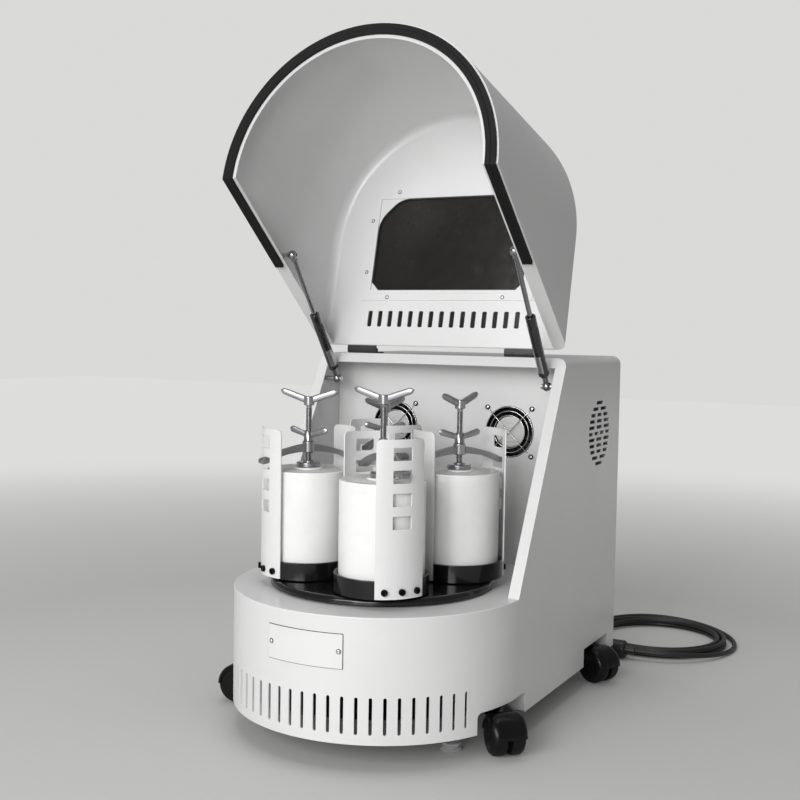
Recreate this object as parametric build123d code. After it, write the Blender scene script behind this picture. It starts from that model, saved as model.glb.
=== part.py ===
from build123d import *
from math import atan2, cos, degrees, hypot, pi, radians, sin, sqrt, tan
import os

# Planetary ball mill with four jar stations, lid open. Millimetres, +Z up.
# Origin: the turntable axis on the floor. The drum front faces -Y.

# Casing
body_radius = 235.0
body_back = 482.0
skirt_z = 38.0
deck_top = 221.0
housing_top = 582.0
sheet = 2.5
flange_foot_y = 2.0
flange_head_y = 192.5
flange_width = 18.0
housing_top_round = 16.0
fit_gap = 0.3

# Drum slots, in the front wall
slot_count = 25
slot_first_angle = -150.4
slot_last_angle = -29.6
slot_low = 52.5
slot_high = 106.5
slot_width = 5.0

# Blank plate on the drum
plate_half_angle = 15.2
plate_low = 146.0
plate_high = 195.5
plate_thick = 1.2
plate_screw_angle = 13.9
plate_screw_radius = 3.2

# Base plate and wheel wells
base_z = 70.0
base_thick = 4.0
well_front_y = 38.0
well_drum_y = -97.0
well_rear_low_y = 313.0
well_rear_high_y = 443.0
well_inner_x = 158.0
well_round = 8.0

# Casters
caster_x = 224.0
caster_front_y = -36.0
caster_rear_y = 378.0
caster_offset = 22.0
caster_wheel_radius = 30.0
caster_wheel_width = 22.0
caster_wheel_gap = 8.0
caster_hood_radius = 33.0
caster_hood_thick = 2.5
caster_stem_radius = 5.5
caster_axle_radius = 3.0
caster_floor_gap = 0.4
caster_directions = {"front_right": -48.0, "front_left": -172.0, "rear_right": -24.0, "rear_left": 160.0}

# Levelling feet
foot_front = (160.5, -71.3)
foot_rear = (118.0, 445.0)
foot_pad_radius = 17.5
foot_pad_height = 13.0
foot_stud_radius = 5.0
foot_nut_height = 8.0

# Turntable and its drive
turntable_radius = 177.5
turntable_low = 223.7
turntable_high = 234.0
turntable_round = 7.0
deck_hole_radius = 168.0
hub_radius = 32.0
boss_radius = 22.0
boss_low = 200.0
main_shaft_radius = 15.0
running_gap = 0.3
driven_pulley_radius = 75.0
motor_pulley_radius = 30.0
pulley_low = 82.0
pulley_high = 104.0
pulley_rim = 4.5
pulley_rim_thick = 2.5
belt_thick = 4.0
motor_y = 335.0
motor_shaft_radius = 12.0
motor_radius = 70.0
motor_low = 124.0
motor_high = 316.0
motor_plate_half = 92.0
motor_post_radius = 7.0
motor_post_place = 80.0
bearing_flange_low = 112.0
bearing_flange_high = 120.0
bearing_flange_radius = 116.0
bearing_column_radius = 34.0
leg_radius = 8.0
leg_place = (95.0, 44.0)

# Gears: a fixed sun, and one planet on each spindle
gear_module = 2.0
sun_teeth = 80
planet_teeth = 40
gear_low = 186.0
gear_high = 198.0
tooth_top = 1.4
tooth_root = 2.0
tooth_half_at_pitch = 1.15
tooth_half_at_top = 0.6

# Stations
station_first_angle = 28.0
station_names = ["right", "rear", "left", "front"]
guard_turns = {"right": 25.0, "rear": 25.0, "left": 28.5, "front": 24.0}
spindle_radius = 12.0
cup_radius = 72.0
cup_wall = 5.5
cup_low = 236.0
cup_high = 263.0
cup_floor = 4.0
jar_radius = 65.0
jar_wall = 11.0
jar_height = 149.0
jar_lid_height = 13.0
jar_lid_spigot = 8.0
jar_disc_radius = 24.0
jar_disc_height = 2.5

# Guard plates
guard_thick = 2.0
guard_half_angle = 30.4
guard_low = 237.0
guard_high = 468.5
guard_round = 8.0
window_heights = [447.0, 414.3, 381.0, 348.0]
window_width = 29.5
window_height = 19.0
guard_screw_angles = [-20.0, 0.0, 20.0]
guard_screw_rise = 10.5
guard_screw_radius = 5.0
guard_screw_height = 4.0

# Clamp
bridge_width = 13.0
bridge_boss_radius = 10.0
bridge_boss_low = 428.0
bridge_boss_high = 446.0
bridge_arm_upper = [(8.0, 441.5), (40.0, 434.8), (60.0, 428.3), (70.0, 423.2), (76.0, 422.2), (83.0, 419.5)]
bridge_arm_lower = [(83.0, 413.0), (76.0, 412.8), (70.0, 414.3), (60.0, 419.3), (40.0, 426.0), (8.0, 430.0)]
clamp_screw_radius = 5.0
pad_radius = 19.0
pad_height = 7.5
pad_neck_radius = 9.0
pad_neck_height = 2.5
lock_nut_radius = 8.2
lock_nut_top_radius = 6.4
lock_nut_height = 17.0
lock_nut_turn = {"right": 48.0, "rear": 40.0, "left": -1.0, "front": 118.0}
clamp_travel_gap = 0.3
handle_heights = {"right": 508.0, "rear": 492.0, "left": 510.0, "front": 521.0}
handle_hub_radius = 8.5
handle_hub_height = 14.0
handle_recess_radius = 5.5
handle_recess_depth = 3.0
handle_turns = {"right": 79.0, "rear": 74.0, "left": 13.0, "front": 7.0}
handle_wing = {"reach": 48.0, "height": 10.0, "thick": 7.0, "tilt": 19.0}
lock_nut_wing = {"reach": 35.5, "height": 10.5, "thick": 5.5, "tilt": 17.0}

# Fan bulkhead and fans
bulkhead_y = 248.0
fan_x = 112.0
fan_z = 451.0
fan_size = 92.0
fan_depth = 25.0
fan_opening_radius = 45.0
fan_screw_place = 41.25
fan_hub_radius = 22.0
fan_blades = 7
guard_wire_radius = 1.0
guard_ring_radii = [42.0, 34.0, 26.0]

# Side vents, round fields of slots between ribs
vent_y = 368.0
vent_z = 447.5
vent_field_radius = 57.0
vent_row_counts = (1, 2, 3, 3, 3, 4, 3, 3, 3, 2, 1)
vent_row_pitch = 10.8
vent_slot_height = 6.0
vent_rib = 7.0

# Lid, modelled closed and then swung open
lid_open_angle = 103.0
hinge_y = 194.0
hinge_z = housing_top + 5.0
hinge_x = 152.0
hinge_width = 58.0
hinge_knuckle_radius = 4.7
hinge_pin_radius = 2.0
hinge_leaf_thick = 2.4
hinge_leaf_reach = 26.0
gasket_gap = 0.5
gasket_thick = 5.0
gasket_inset = 2.6
gasket_width = 13.0
gasket_top = 398.0
lid_lip_width = 24.0
lid_lip_thick = 2.0
lid_top_round = 18.0
lid_back_y = 186.0
lid_slot_count = 15
lid_slot_pitch = 20.2
lid_slot_width = 8.6
lid_slot_round = 2.5
lid_slot_y = (123.0, 152.0)

# Lid window
window_y = (-84.0, 86.0)
window_half = 146.5
window_front_cut = 39.0
window_front_round = 45.0
window_back_cut = 15.0
pane_lap = 10.0
pane_thick = 3.0
frame_border = 18.0
frame_screw_inset = 12.5
frame_thick = 2.0
slot_cover_half = 160.0
slot_cover_y = (114.0, 161.0)
slot_cover_thick = 2.0
frame_screw_radius = 3.0
frame_side_screw_y = (-44.0, 52.0)
frame_end_screw_x = 111.0

# Gas struts
strut_x = 201.0
strut_body_place = (189.5, 535.0)
strut_lid_place = (73.0, 398.5)
strut_ball_radius = 8.0
strut_pin_radius = 4.5
strut_cylinder_radius = 8.5
strut_cylinder_reach = 141.0
strut_sleeve = (28.0, 68.0)
strut_neck_radius = 4.5
strut_rod_radius = 4.0
strut_rod_reach = 138.0
strut_bore_start = 32.0
stud_plate_radius = 10.0
stud_plate_thick = 3.0

# Mains cable
cable_diameter = 9.0
cable_exit_x = 118.0
cable_exit_z = 92.0
gland_radius = 11.0
gland_reach = 22.0
cable_lead_in = 34.0
cable_points = [
    (118.0, 532.0, 92.0),
    (117.0, 574.0, 66.0),
    (118.0, 602.0, 33.0),
    (121.0, 634.0, 8.0),
]
coil_centre = (262.0, 697.0)
coil_turns_in = 2
coil_loose_turns = 0.75
coil_outer_radius = 138.0
coil_loose_radius = 152.0
coil_end_radius = 160.0
coil_pitch = 12.5
coil_layer_rise = 10.2
coil_start_angle = 180.0
plug_length = 52.0
plug_radius = 17.0

station_radius = gear_module * (sun_teeth + planet_teeth) / 2
caster_wheel_z = caster_wheel_radius + caster_floor_gap
flange_slope = hypot(flange_head_y - flange_foot_y, housing_top - deck_top)
flange_run = (flange_head_y - flange_foot_y) / flange_slope
flange_rise = (housing_top - deck_top) / flange_slope
flange_dir = Vector(0, flange_run, flange_rise)
flange_normal = Vector(0, -flange_dir.Z, flange_dir.Y)
flange_plane = Plane(origin=(0, flange_foot_y, deck_top), x_dir=(1, 0, 0), z_dir=tuple(flange_normal))
far = 1500.0
solids_written = {}

os.makedirs("parts", exist_ok=True)


def write(name, shape):
    """Write one sub-part, from a shape or a list of separate solids."""
    shapes = list(shape) if isinstance(shape, (list, tuple)) else [shape]
    pieces = [solid for one in shapes for solid in one.solids()]
    whole = pieces[0] if len(pieces) == 1 else Compound(pieces)
    whole.label = name
    solids_written[name] = whole
    export_step(whole, f"parts/{name}.step")


def block(x0, x1, y0, y1, z0, z1):
    """A box from its low and high corners."""
    return Pos((x0 + x1) / 2, (y0 + y1) / 2, (z0 + z1) / 2) * Box(abs(x1 - x0), abs(y1 - y0), abs(z1 - z0))


def post(x, y, z0, z1, radius):
    """An upright cylinder."""
    return Pos(x, y, (z0 + z1) / 2) * Cylinder(radius, z1 - z0)


def tube(x, y, z0, z1, outer, inner):
    """An upright tube."""
    return post(x, y, z0, z1, outer) - post(x, y, z0 - 1, z1 + 1, inner)


def bar_x(x0, x1, y, z, radius):
    """A round bar along X."""
    return Pos((x0 + x1) / 2, y, z) * Rot(0, 90, 0) * Cylinder(radius, abs(x1 - x0))


def bar_y(x, y0, y1, z, radius):
    """A round bar along Y."""
    return Pos(x, (y0 + y1) / 2, z) * Rot(90, 0, 0) * Cylinder(radius, abs(y1 - y0))


def half_round(radius, back, z0, z1):
    """The casing's plan, a half disc in front of a rectangle, as a prism."""
    disc = post(0, 0, z0, z1, radius) & block(-far, far, -far, 0, z0, z1)
    return disc + block(-radius, radius, 0, back, z0, z1) if back > 0 else disc


def above_flange(offset):
    """Everything in front of and above the slanted plane, moved outward by offset."""
    where = flange_plane.offset(offset)
    return where * Pos(0, 0, far / 2) * Box(2 * far, 2 * far, far)


def flange_slab(low, high):
    """A slab between two planes parallel to the slanted plane."""
    return flange_plane * Pos(0, 0, (low + high) / 2) * Box(2 * far, 2 * far, high - low)


def at_angle(angle, radius):
    """X and Y of a point on a circle about the turntable axis."""
    return radius * cos(radians(angle)), radius * sin(radians(angle))


# ---- Casing -------------------------------------------------------------


def front_wells():
    """Wheel notches at both ends of the drum wall, open downward."""
    cutters = []
    for side in (-1, 1):
        notch = block(side * well_inner_x, side * far, well_drum_y, well_front_y, -well_round * 2, base_z)
        notch = fillet(notch.edges().filter_by(Axis.X).group_by(Axis.Z)[-1], well_round)
        cutters.append(notch)
    return cutters


def rear_wells():
    """Square wheel notches near the rear corners, open downward."""
    return [
        block(side * well_inner_x, side * far, well_rear_low_y, well_rear_high_y, -1, base_z)
        for side in (-1, 1)
    ]


def make_drum_shell():
    top = deck_top - sheet
    wall = half_round(body_radius, 0, skirt_z, top) - half_round(body_radius - sheet, 0, skirt_z - 1, top + 1)
    pitch = (slot_last_angle - slot_first_angle) / (slot_count - 1)
    middle = (slot_low + slot_high) / 2
    straight = slot_high - slot_low - slot_width
    cutters = []
    for number in range(slot_count):
        angle = slot_first_angle + number * pitch
        x, y = at_angle(angle, body_radius - sheet / 2)
        blade = Box(4 * sheet, slot_width, straight)
        round_end = Rot(0, 90, 0) * Cylinder(slot_width / 2, 4 * sheet)
        blade += Pos(0, 0, straight / 2) * round_end
        blade += Pos(0, 0, -straight / 2) * round_end
        cutters.append(Pos(x, y, middle) * Rot(0, 0, angle) * blade)
    for side in (-1, 1):
        angle = -90 + side * plate_screw_angle
        x, y = at_angle(angle, body_radius - sheet / 2)
        hole = Rot(0, 90, 0) * Cylinder(plate_screw_radius / 2 + fit_gap, 4 * sheet)
        cutters.append(Pos(x, y, (plate_low + plate_high) / 2) * Rot(0, 0, angle) * hole)
    write("drum_shell", wall - cutters - front_wells())


def make_blank_plate():
    inner = body_radius + 0.05
    ring = tube(0, 0, plate_low, plate_high, inner + plate_thick, inner)
    half_width = (body_radius + plate_thick) * sin(radians(plate_half_angle))
    plate = ring & block(-half_width, half_width, -far, 0, plate_low, plate_high)
    middle = (plate_low + plate_high) / 2
    pieces = [plate]
    for side in (-1, 1):
        turn = Rot(0, 0, -90 + side * plate_screw_angle)
        reach = body_radius + plate_thick
        shank = Pos(reach - 5, 0, middle) * Rot(0, 90, 0) * Cylinder(plate_screw_radius / 2, 10)
        head = Pos(reach + 1.2, 0, middle) * Rot(0, 90, 0) * Cylinder(plate_screw_radius, 1.8)
        bore = Rot(0, 90, 0) * Cylinder(plate_screw_radius / 2 + 0.1, 12)
        pieces[0] = pieces[0] - turn * Pos(reach, 0, middle) * bore
        pieces.append(turn * (shank + head))
    write("blank_plate", pieces)


def make_deck_plate():
    low = deck_top - sheet
    disc = half_round(body_radius, 0, low, deck_top)
    disc = fillet(disc.edges().filter_by(GeomType.CIRCLE).group_by(Axis.Z)[-1], sheet * 0.6)
    inside = body_radius - sheet - fit_gap
    shelf = block(-inside, inside, -1, bulkhead_y - fit_gap, low, deck_top)
    write("deck_plate", disc + shelf - post(0, 0, low - 1, deck_top + 1, deck_hole_radius))


def vent_holes(side):
    """A round field of slots through one side wall, each row as long as the circle is wide there."""
    holes = []
    middle_row = (len(vent_row_counts) - 1) / 2
    for row, count in enumerate(vent_row_counts):
        rise = (row - middle_row) * vent_row_pitch
        chord = 2 * sqrt(vent_field_radius**2 - rise**2)
        length = (chord - (count - 1) * vent_rib) / count
        for number in range(count):
            y = vent_y + (number - (count - 1) / 2) * (length + vent_rib)
            hole = Box(6 * sheet, length, vent_slot_height)
            holes.append(Pos(side * (body_radius - sheet / 2), y, vent_z + rise) * hole)
    return holes


def make_rear_housing():
    start_y = fit_gap / 2
    outline = Polyline(
        (start_y, skirt_z),
        (start_y, deck_top),
        (flange_foot_y, deck_top),
        (flange_head_y, housing_top),
        (body_back, housing_top),
        (body_back, skirt_z),
        close=True,
    )
    side_view = Plane(origin=(-body_radius, 0, 0), x_dir=(0, 1, 0), z_dir=(1, 0, 0))
    outer = extrude(side_view * make_face(outline), 2 * body_radius)
    long_edges = outer.edges().filter_by(Axis.Y).group_by(Axis.Z)[-1]
    outer = fillet(long_edges, housing_top_round)
    inside = body_radius - sheet
    hollow = block(-inside, inside, -far, body_back - sheet, skirt_z - 1, housing_top - sheet)
    hollow = fillet(hollow.edges().filter_by(Axis.Y).group_by(Axis.Z)[-1], housing_top_round - sheet)
    lip_half = body_radius - flange_width
    lip_top = flange_slope - flange_width
    opening = flange_plane * Pos(0, lip_top / 2 - far / 2, 0) * Box(2 * lip_half, lip_top + far, 4 * sheet)
    lip = (outer & flange_slab(-sheet, 0)) - opening
    below_deck = block(-far, far, -far, far, -1, deck_top)
    walls = (outer - hollow) + (lip - below_deck)
    cutters = front_wells() + rear_wells() + vent_holes(1) + vent_holes(-1)
    back_wall = (body_back - 5 * sheet, body_back + 5 * sheet)
    cutters.append(bar_y(cable_exit_x, *back_wall, cable_exit_z, gland_radius - 3))
    write("rear_housing", walls - cutters)


def make_fan_bulkhead():
    inside = body_radius - sheet - fit_gap
    low = deck_top - sheet
    high = housing_top - sheet - fit_gap
    sheet_body = block(-inside, inside, bulkhead_y, bulkhead_y + sheet, low, high)
    corners = sheet_body.edges().filter_by(Axis.Y).group_by(Axis.Z)[-1]
    sheet_body = fillet(corners, housing_top_round - sheet)
    for side in (-1, 1):
        x = side * fan_x
        sheet_body -= bar_y(x, bulkhead_y - 1, bulkhead_y + sheet + 1, fan_z, fan_opening_radius)
        for dx in (-fan_screw_place, fan_screw_place):
            for dz in (-fan_screw_place, fan_screw_place):
                sheet_body -= bar_y(x + dx, bulkhead_y - 1, bulkhead_y + sheet + 1, fan_z + dz, 1.8)
    write("fan_bulkhead", sheet_body)


def make_base_plate():
    inside = body_radius - sheet - fit_gap
    plate = half_round(inside, body_back - sheet - fit_gap, base_z, base_z + base_thick)
    walls = []
    for side in (-1, 1):
        outer_x = side * inside
        inner_x = side * (well_inner_x - sheet)
        low = skirt_z + 8
        box_rear = block(inner_x, outer_x, well_rear_low_y - sheet, well_rear_high_y + sheet, low, base_z)
        inside_rear = block(side * well_inner_x, side * far, well_rear_low_y, well_rear_high_y, 0, base_z)
        walls.append(box_rear - inside_rear)
    for side in (-1, 1):
        for y in (caster_front_y, caster_rear_y):
            bore = caster_stem_radius + running_gap
            plate -= post(side * caster_x, y, base_z - 1, base_z + base_thick + 1, bore)
        for x, y in (foot_front, foot_rear):
            plate -= post(side * x, y, base_z - 1, base_z + base_thick + 1, foot_stud_radius + 0.1)
    write("base_plate", plate + walls)


def make_levelling_feet():
    pieces = []
    for side in (-1, 1):
        for x, y in (foot_front, foot_rear):
            pad = post(side * x, y, 0, foot_pad_height, foot_pad_radius)
            pad = fillet(pad.edges().group_by(Axis.Z)[-1], 4)
            stud = post(side * x, y, foot_pad_height - 1, base_z + base_thick + 12, foot_stud_radius)
            nut_turn = Pos(side * x, y, base_z - foot_nut_height - fit_gap / 3)
            nut = nut_turn * extrude(RegularPolygon(foot_stud_radius * 1.9, 6), foot_nut_height)
            pieces.append(pad + stud + nut)
    write("levelling_feet", pieces)


# ---- Drive --------------------------------------------------------------


def gear(teeth, low, high, bore, first_tooth_angle):
    """A spur gear with straight-flanked teeth, one tooth centred on the first angle."""
    pitch_radius = gear_module * teeth / 2
    root = pitch_radius - tooth_root
    top = pitch_radius + tooth_top
    slope = (tooth_half_at_pitch - tooth_half_at_top) / tooth_top
    half_root = tooth_half_at_pitch + slope * tooth_root
    points = []
    for number in range(teeth):
        middle = radians(first_tooth_angle + number * 360 / teeth)
        for radius, half in (
            (root, -half_root),
            (top, -tooth_half_at_top),
            (top, tooth_half_at_top),
            (root, half_root),
        ):
            angle = middle + half / radius
            points.append((radius * cos(angle), radius * sin(angle)))
    profile = make_face(Polyline(*points, close=True))
    return Pos(0, 0, low) * extrude(profile, high - low) - post(0, 0, low - 1, high + 1, bore)


def make_bearing_housing():
    bore = main_shaft_radius + running_gap
    flange = tube(0, 0, bearing_flange_low, bearing_flange_high, bearing_flange_radius, bore)
    column = tube(0, 0, bearing_flange_low, gear_low, bearing_column_radius, bore)
    body = flange + column
    for sx in (-1, 1):
        for sy in (-1, 1):
            x = sx * leg_place[0]
            y = sy * leg_place[1]
            body += post(x, y, base_z + base_thick, bearing_flange_low + 1, leg_radius)
    write("bearing_housing", body)


def make_sun_gear():
    bore = main_shaft_radius + 1.0
    first = station_first_angle + 180 / sun_teeth
    write("sun_gear", gear(sun_teeth, gear_low, gear_high, bore, first))


def pulley(radius, bore):
    """A flat-belt pulley with two rims."""
    core = tube(0, 0, pulley_low, pulley_high, radius, bore)
    low_rim = tube(0, 0, pulley_low, pulley_low + pulley_rim_thick, radius + pulley_rim, bore)
    high_rim = tube(0, 0, pulley_high - pulley_rim_thick, pulley_high, radius + pulley_rim, bore)
    return core + low_rim + high_rim


def make_main_shaft():
    shaft = post(0, 0, base_z + base_thick + 2, turntable_low, main_shaft_radius)
    write("main_shaft", [shaft, pulley(driven_pulley_radius, main_shaft_radius)])


def make_motor_pulley():
    wheel = pulley(motor_pulley_radius, motor_shaft_radius)
    shaft = post(0, 0, pulley_low - 2, motor_low + 20, motor_shaft_radius)
    write("motor_pulley", [Pos(0, motor_y, 0) * wheel, Pos(0, motor_y, 0) * shaft])


def make_drive_belt():
    low = pulley_low + pulley_rim_thick + 0.6
    high = pulley_high - pulley_rim_thick - 0.6

    def loop(extra):
        front = Circle(driven_pulley_radius + extra)
        back = Pos(0, motor_y) * Circle(motor_pulley_radius + extra)
        return make_hull((front + back).edges())

    ring = extrude(loop(fit_gap + belt_thick), high - low) - extrude(loop(fit_gap), high - low)
    write("drive_belt", Pos(0, 0, low) * ring)


def make_drive_motor():
    y = motor_y
    half = motor_plate_half
    plate = block(-half, half, y - half, y + half, motor_low - 6, motor_low)
    plate -= post(0, y, motor_low - 7, motor_low + 1, motor_shaft_radius + 1)
    for sx in (-1, 1):
        for sy in (-1, 1):
            x = sx * motor_post_place
            plate += post(x, y + sy * motor_post_place, base_z + base_thick, motor_low - 5, motor_post_radius)
    case = post(0, y, motor_low, motor_high, motor_radius)
    case = fillet(case.edges().group_by(Axis.Z)[-1], 12)
    case -= post(0, y, motor_low - 1, motor_low + 24, motor_shaft_radius + 1)
    fins = []
    for number in range(20):
        angle = number * 18.0
        fin = Pos(0, y, 0) * Rot(0, 0, angle) * block(motor_radius - 2, motor_radius + 5, -1.2, 1.2, 150, 270)
        fins.append(fin)
    case += fins
    case += block(motor_radius - 6, motor_radius + 28, y - 28, y + 28, 190, 240)
    write("drive_motor", [plate, case])


def make_turntable_disc():
    disc = post(0, 0, turntable_low, turntable_high, turntable_radius)
    disc = fillet(disc.edges().group_by(Axis.Z)[-1], turntable_round)
    disc += tube(0, 0, boss_low, turntable_low + 1, hub_radius, main_shaft_radius)
    for number in range(4):
        x, y = at_angle(station_first_angle + 90 * number, station_radius)
        disc += post(x, y, boss_low, turntable_low + 1, boss_radius)
        disc -= post(x, y, boss_low - 1, turntable_high + 1, spindle_radius + running_gap)
    write("turntable_disc", disc)


# ---- Stations -----------------------------------------------------------


def make_holder(name, place):
    floor = post(0, 0, cup_low, cup_high, cup_radius)
    cup = floor - post(0, 0, cup_low + cup_floor, cup_high + 1, cup_radius - cup_wall)
    rim = cup.edges().filter_by(GeomType.CIRCLE).group_by(Axis.Z)[-1]
    cup = fillet(rim, 1.0)
    spindle = post(0, 0, gear_low - 10, cup_low + 1, spindle_radius)
    nut = post(0, 0, gear_low - 10, gear_low, spindle_radius + 5)
    cup = cup + spindle + nut
    wheel = gear(planet_teeth, gear_low, gear_high, spindle_radius, 180.0)
    write(f"holder_{name}", [place * cup, place * wheel])


def guard_plate():
    """One curved guard plate, centred on +X of the station."""
    inner = cup_radius + 0.05
    outer = inner + guard_thick
    half = outer * sin(radians(guard_half_angle))
    face = Pos(0, (guard_low + guard_high) / 2) * Rectangle(2 * half, guard_high - guard_low)
    face = fillet(face.vertices().group_by(Axis.Y)[-1], guard_round)
    for height in window_heights:
        hole = Pos(0, height) * Rectangle(window_width, window_height)
        face -= hole
    front = Plane(origin=(0, 0, 0), x_dir=(0, 1, 0), z_dir=(1, 0, 0))
    blank = extrude(front * face, outer + 10)
    ring = tube(0, 0, guard_low - 1, guard_high + 1, outer, inner)
    return ring & blank


def make_guards(name, place):
    outer = cup_radius + 0.05 + guard_thick
    screw_z = guard_low + guard_screw_rise
    pieces = []
    for half_turn in (0, 180):
        turn = Rot(0, 0, guard_turns[name] + half_turn)
        plate = guard_plate()
        for angle in guard_screw_angles:
            head = Pos(outer + guard_screw_height / 2 - 0.4, 0, screw_z) * Rot(0, 90, 0)
            head = head * Cylinder(guard_screw_radius, guard_screw_height + 0.8)
            socket = Pos(outer + guard_screw_height, 0, screw_z) * Rot(0, 90, 0)
            socket = socket * extrude(RegularPolygon(2.6, 6), 6, both=True)
            plate -= Rot(0, 0, angle) * head
            pieces.append(place * turn * Rot(0, 0, angle) * (head - socket))
        pieces.append(place * turn * plate)
    write(f"guard_plates_{name}", pieces)


def make_jar(name, place):
    low = cup_low + cup_floor + 0.2
    top = low + jar_height
    body = post(0, 0, low, top, jar_radius)
    body = fillet(body.edges().group_by(Axis.Z)[0], 2.0)
    body -= post(0, 0, low + jar_wall, top + 1, jar_radius - jar_wall)
    lid_top = top + fit_gap + jar_lid_height
    lid = post(0, 0, top + fit_gap, lid_top, jar_radius)
    lid = fillet(lid.edges().group_by(Axis.Z)[-1], 2.5)
    lid += post(0, 0, top + fit_gap - jar_lid_spigot, top + fit_gap + 1, jar_radius - jar_wall - fit_gap)
    lid += post(0, 0, lid_top - 1, lid_top + jar_disc_height, jar_disc_radius)
    write(f"jar_{name}", [place * body, place * lid])


def make_bridge(name, place):
    """The two-armed cross piece whose tips hook into the guard windows."""
    outline = Polyline(*bridge_arm_upper, *bridge_arm_lower, close=True)
    side_view = Plane(origin=(0, bridge_width / 2, 0), x_dir=(1, 0, 0), z_dir=(0, -1, 0))
    arm = extrude(side_view * make_face(outline), bridge_width)
    whole = post(0, 0, bridge_boss_low, bridge_boss_high, bridge_boss_radius)
    whole += arm + Rot(0, 0, 180) * arm
    whole -= post(0, 0, bridge_boss_low - 9, bridge_boss_high + 9, clamp_screw_radius + running_gap)
    write(f"clamp_bridge_{name}", place * Rot(0, 0, guard_turns[name]) * whole)


def wing_pair(middle, reach, height, thick, tilt):
    """Two flat arms with round ends, rising in a V from the middle height."""
    length = reach / cos(radians(tilt))
    face = Pos(length / 2, 0) * Rectangle(length, height)
    face = fillet(face.vertices().group_by(Axis.X)[-1], height * 0.49)
    upright = Plane(origin=(0, thick / 2, 0), x_dir=(1, 0, 0), z_dir=(0, -1, 0))
    arm = Pos(0, 0, middle) * Rot(0, -tilt, 0) * extrude(upright * face, thick)
    return arm + Rot(0, 0, 180) * arm


def make_clamp_screw(name, place, handle_z, handle_turn, nut_turn):
    pad_low = cup_low + cup_floor + 0.2 + jar_height + fit_gap + jar_lid_height + jar_disc_height + fit_gap
    pad_top = pad_low + pad_height
    pad = post(0, 0, pad_low, pad_top, pad_radius)
    pad = fillet(pad.edges().group_by(Axis.Z)[-1], 2.0)
    pad += post(0, 0, pad_top - 1, pad_top + pad_neck_height, pad_neck_radius)
    screw = post(0, 0, pad_top, handle_z, clamp_screw_radius)
    nut_low = bridge_boss_high + clamp_travel_gap
    nut_middle = nut_low + lock_nut_height / 2
    nut = Pos(0, 0, nut_middle) * Cone(lock_nut_radius, lock_nut_top_radius, lock_nut_height)
    nut += Rot(0, 0, nut_turn) * wing_pair(nut_middle, **lock_nut_wing)
    nut -= post(0, 0, nut_low - 1, nut_low + 2 * lock_nut_height, clamp_screw_radius)
    hub_low = handle_z - handle_hub_height / 2
    hub_high = handle_z + handle_hub_height / 2
    hub = post(0, 0, hub_low, hub_high, handle_hub_radius)
    hub += Rot(0, 0, handle_turn) * wing_pair(handle_z, **handle_wing)
    hub -= post(0, 0, hub_high - handle_recess_depth, hub_high + 1, handle_recess_radius)
    body = pad + screw + hub
    write(f"clamp_screw_{name}", [place * body, place * nut])


def make_stations():
    for number, name in enumerate(station_names):
        angle = station_first_angle + 90 * number
        x, y = at_angle(angle, station_radius)
        place = Pos(x, y, 0) * Rot(0, 0, angle)
        make_holder(name, place)
        make_guards(name, place)
        make_jar(name, place)
        make_bridge(name, place)
        turns = (handle_turns[name] - angle, lock_nut_turn[name] - angle)
        make_clamp_screw(name, place, handle_heights[name], *turns)


# ---- Fans ---------------------------------------------------------------


def make_fan_frames():
    pieces = []
    y0 = bulkhead_y + sheet + 0.2
    y1 = y0 + fan_depth
    half = fan_size / 2
    for side in (-1, 1):
        x = side * fan_x
        frame = block(x - half, x + half, y0, y1, fan_z - half, fan_z + half)
        frame = fillet(frame.edges().filter_by(Axis.Y), 6)
        frame -= bar_y(x, y0 - 1, y1 + 1, fan_z, fan_opening_radius - 1)
        for angle in (45, 135, 225, 315):
            spoke = Pos(x, y1 - 2, fan_z) * Rot(0, angle, 0) * Pos(fan_opening_radius / 2, 0, 0)
            frame += spoke * Box(fan_opening_radius, 3, 6)
        frame += bar_y(x, y1 - 6, y1, fan_z, fan_hub_radius)
        frame -= bar_y(x, y1 - 7, y1 - 3, fan_z, 4.0)
        for dx in (-fan_screw_place, fan_screw_place):
            for dz in (-fan_screw_place, fan_screw_place):
                frame -= bar_y(x + dx, y0 - 1, y0 + 14, fan_z + dz, 1.8)
        pieces.append(frame)
    write("fan_frames", pieces)


def make_fan_guards():
    pieces = []
    wire = guard_wire_radius
    y = bulkhead_y - wire - 0.1
    eye = 4.0
    for side in (-1, 1):
        x = side * fan_x
        guard = None
        for radius in guard_ring_radii:
            ring = Pos(x, y, fan_z) * Rot(90, 0, 0) * Torus(radius, wire)
            guard = ring if guard is None else guard + ring
        reach = 2 * hypot(fan_screw_place, fan_screw_place)
        for layer, angle in enumerate((45, 135)):
            spoke = Pos(x, y - (1.4 + 1.2 * layer) * wire, fan_z) * Rot(0, angle, 0)
            guard += spoke * Rot(0, 90, 0) * Cylinder(wire, reach)
        for dx in (-fan_screw_place, fan_screw_place):
            for dz in (-fan_screw_place, fan_screw_place):
                head = bar_y(x + dx, y - 4 * wire, bulkhead_y - 0.1, fan_z + dz, eye)
                shank = bar_y(x + dx, bulkhead_y - 1, bulkhead_y + 12, fan_z + dz, 1.6)
                guard += head + shank
        pieces.append(guard)
    write("fan_guards", pieces)


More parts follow.
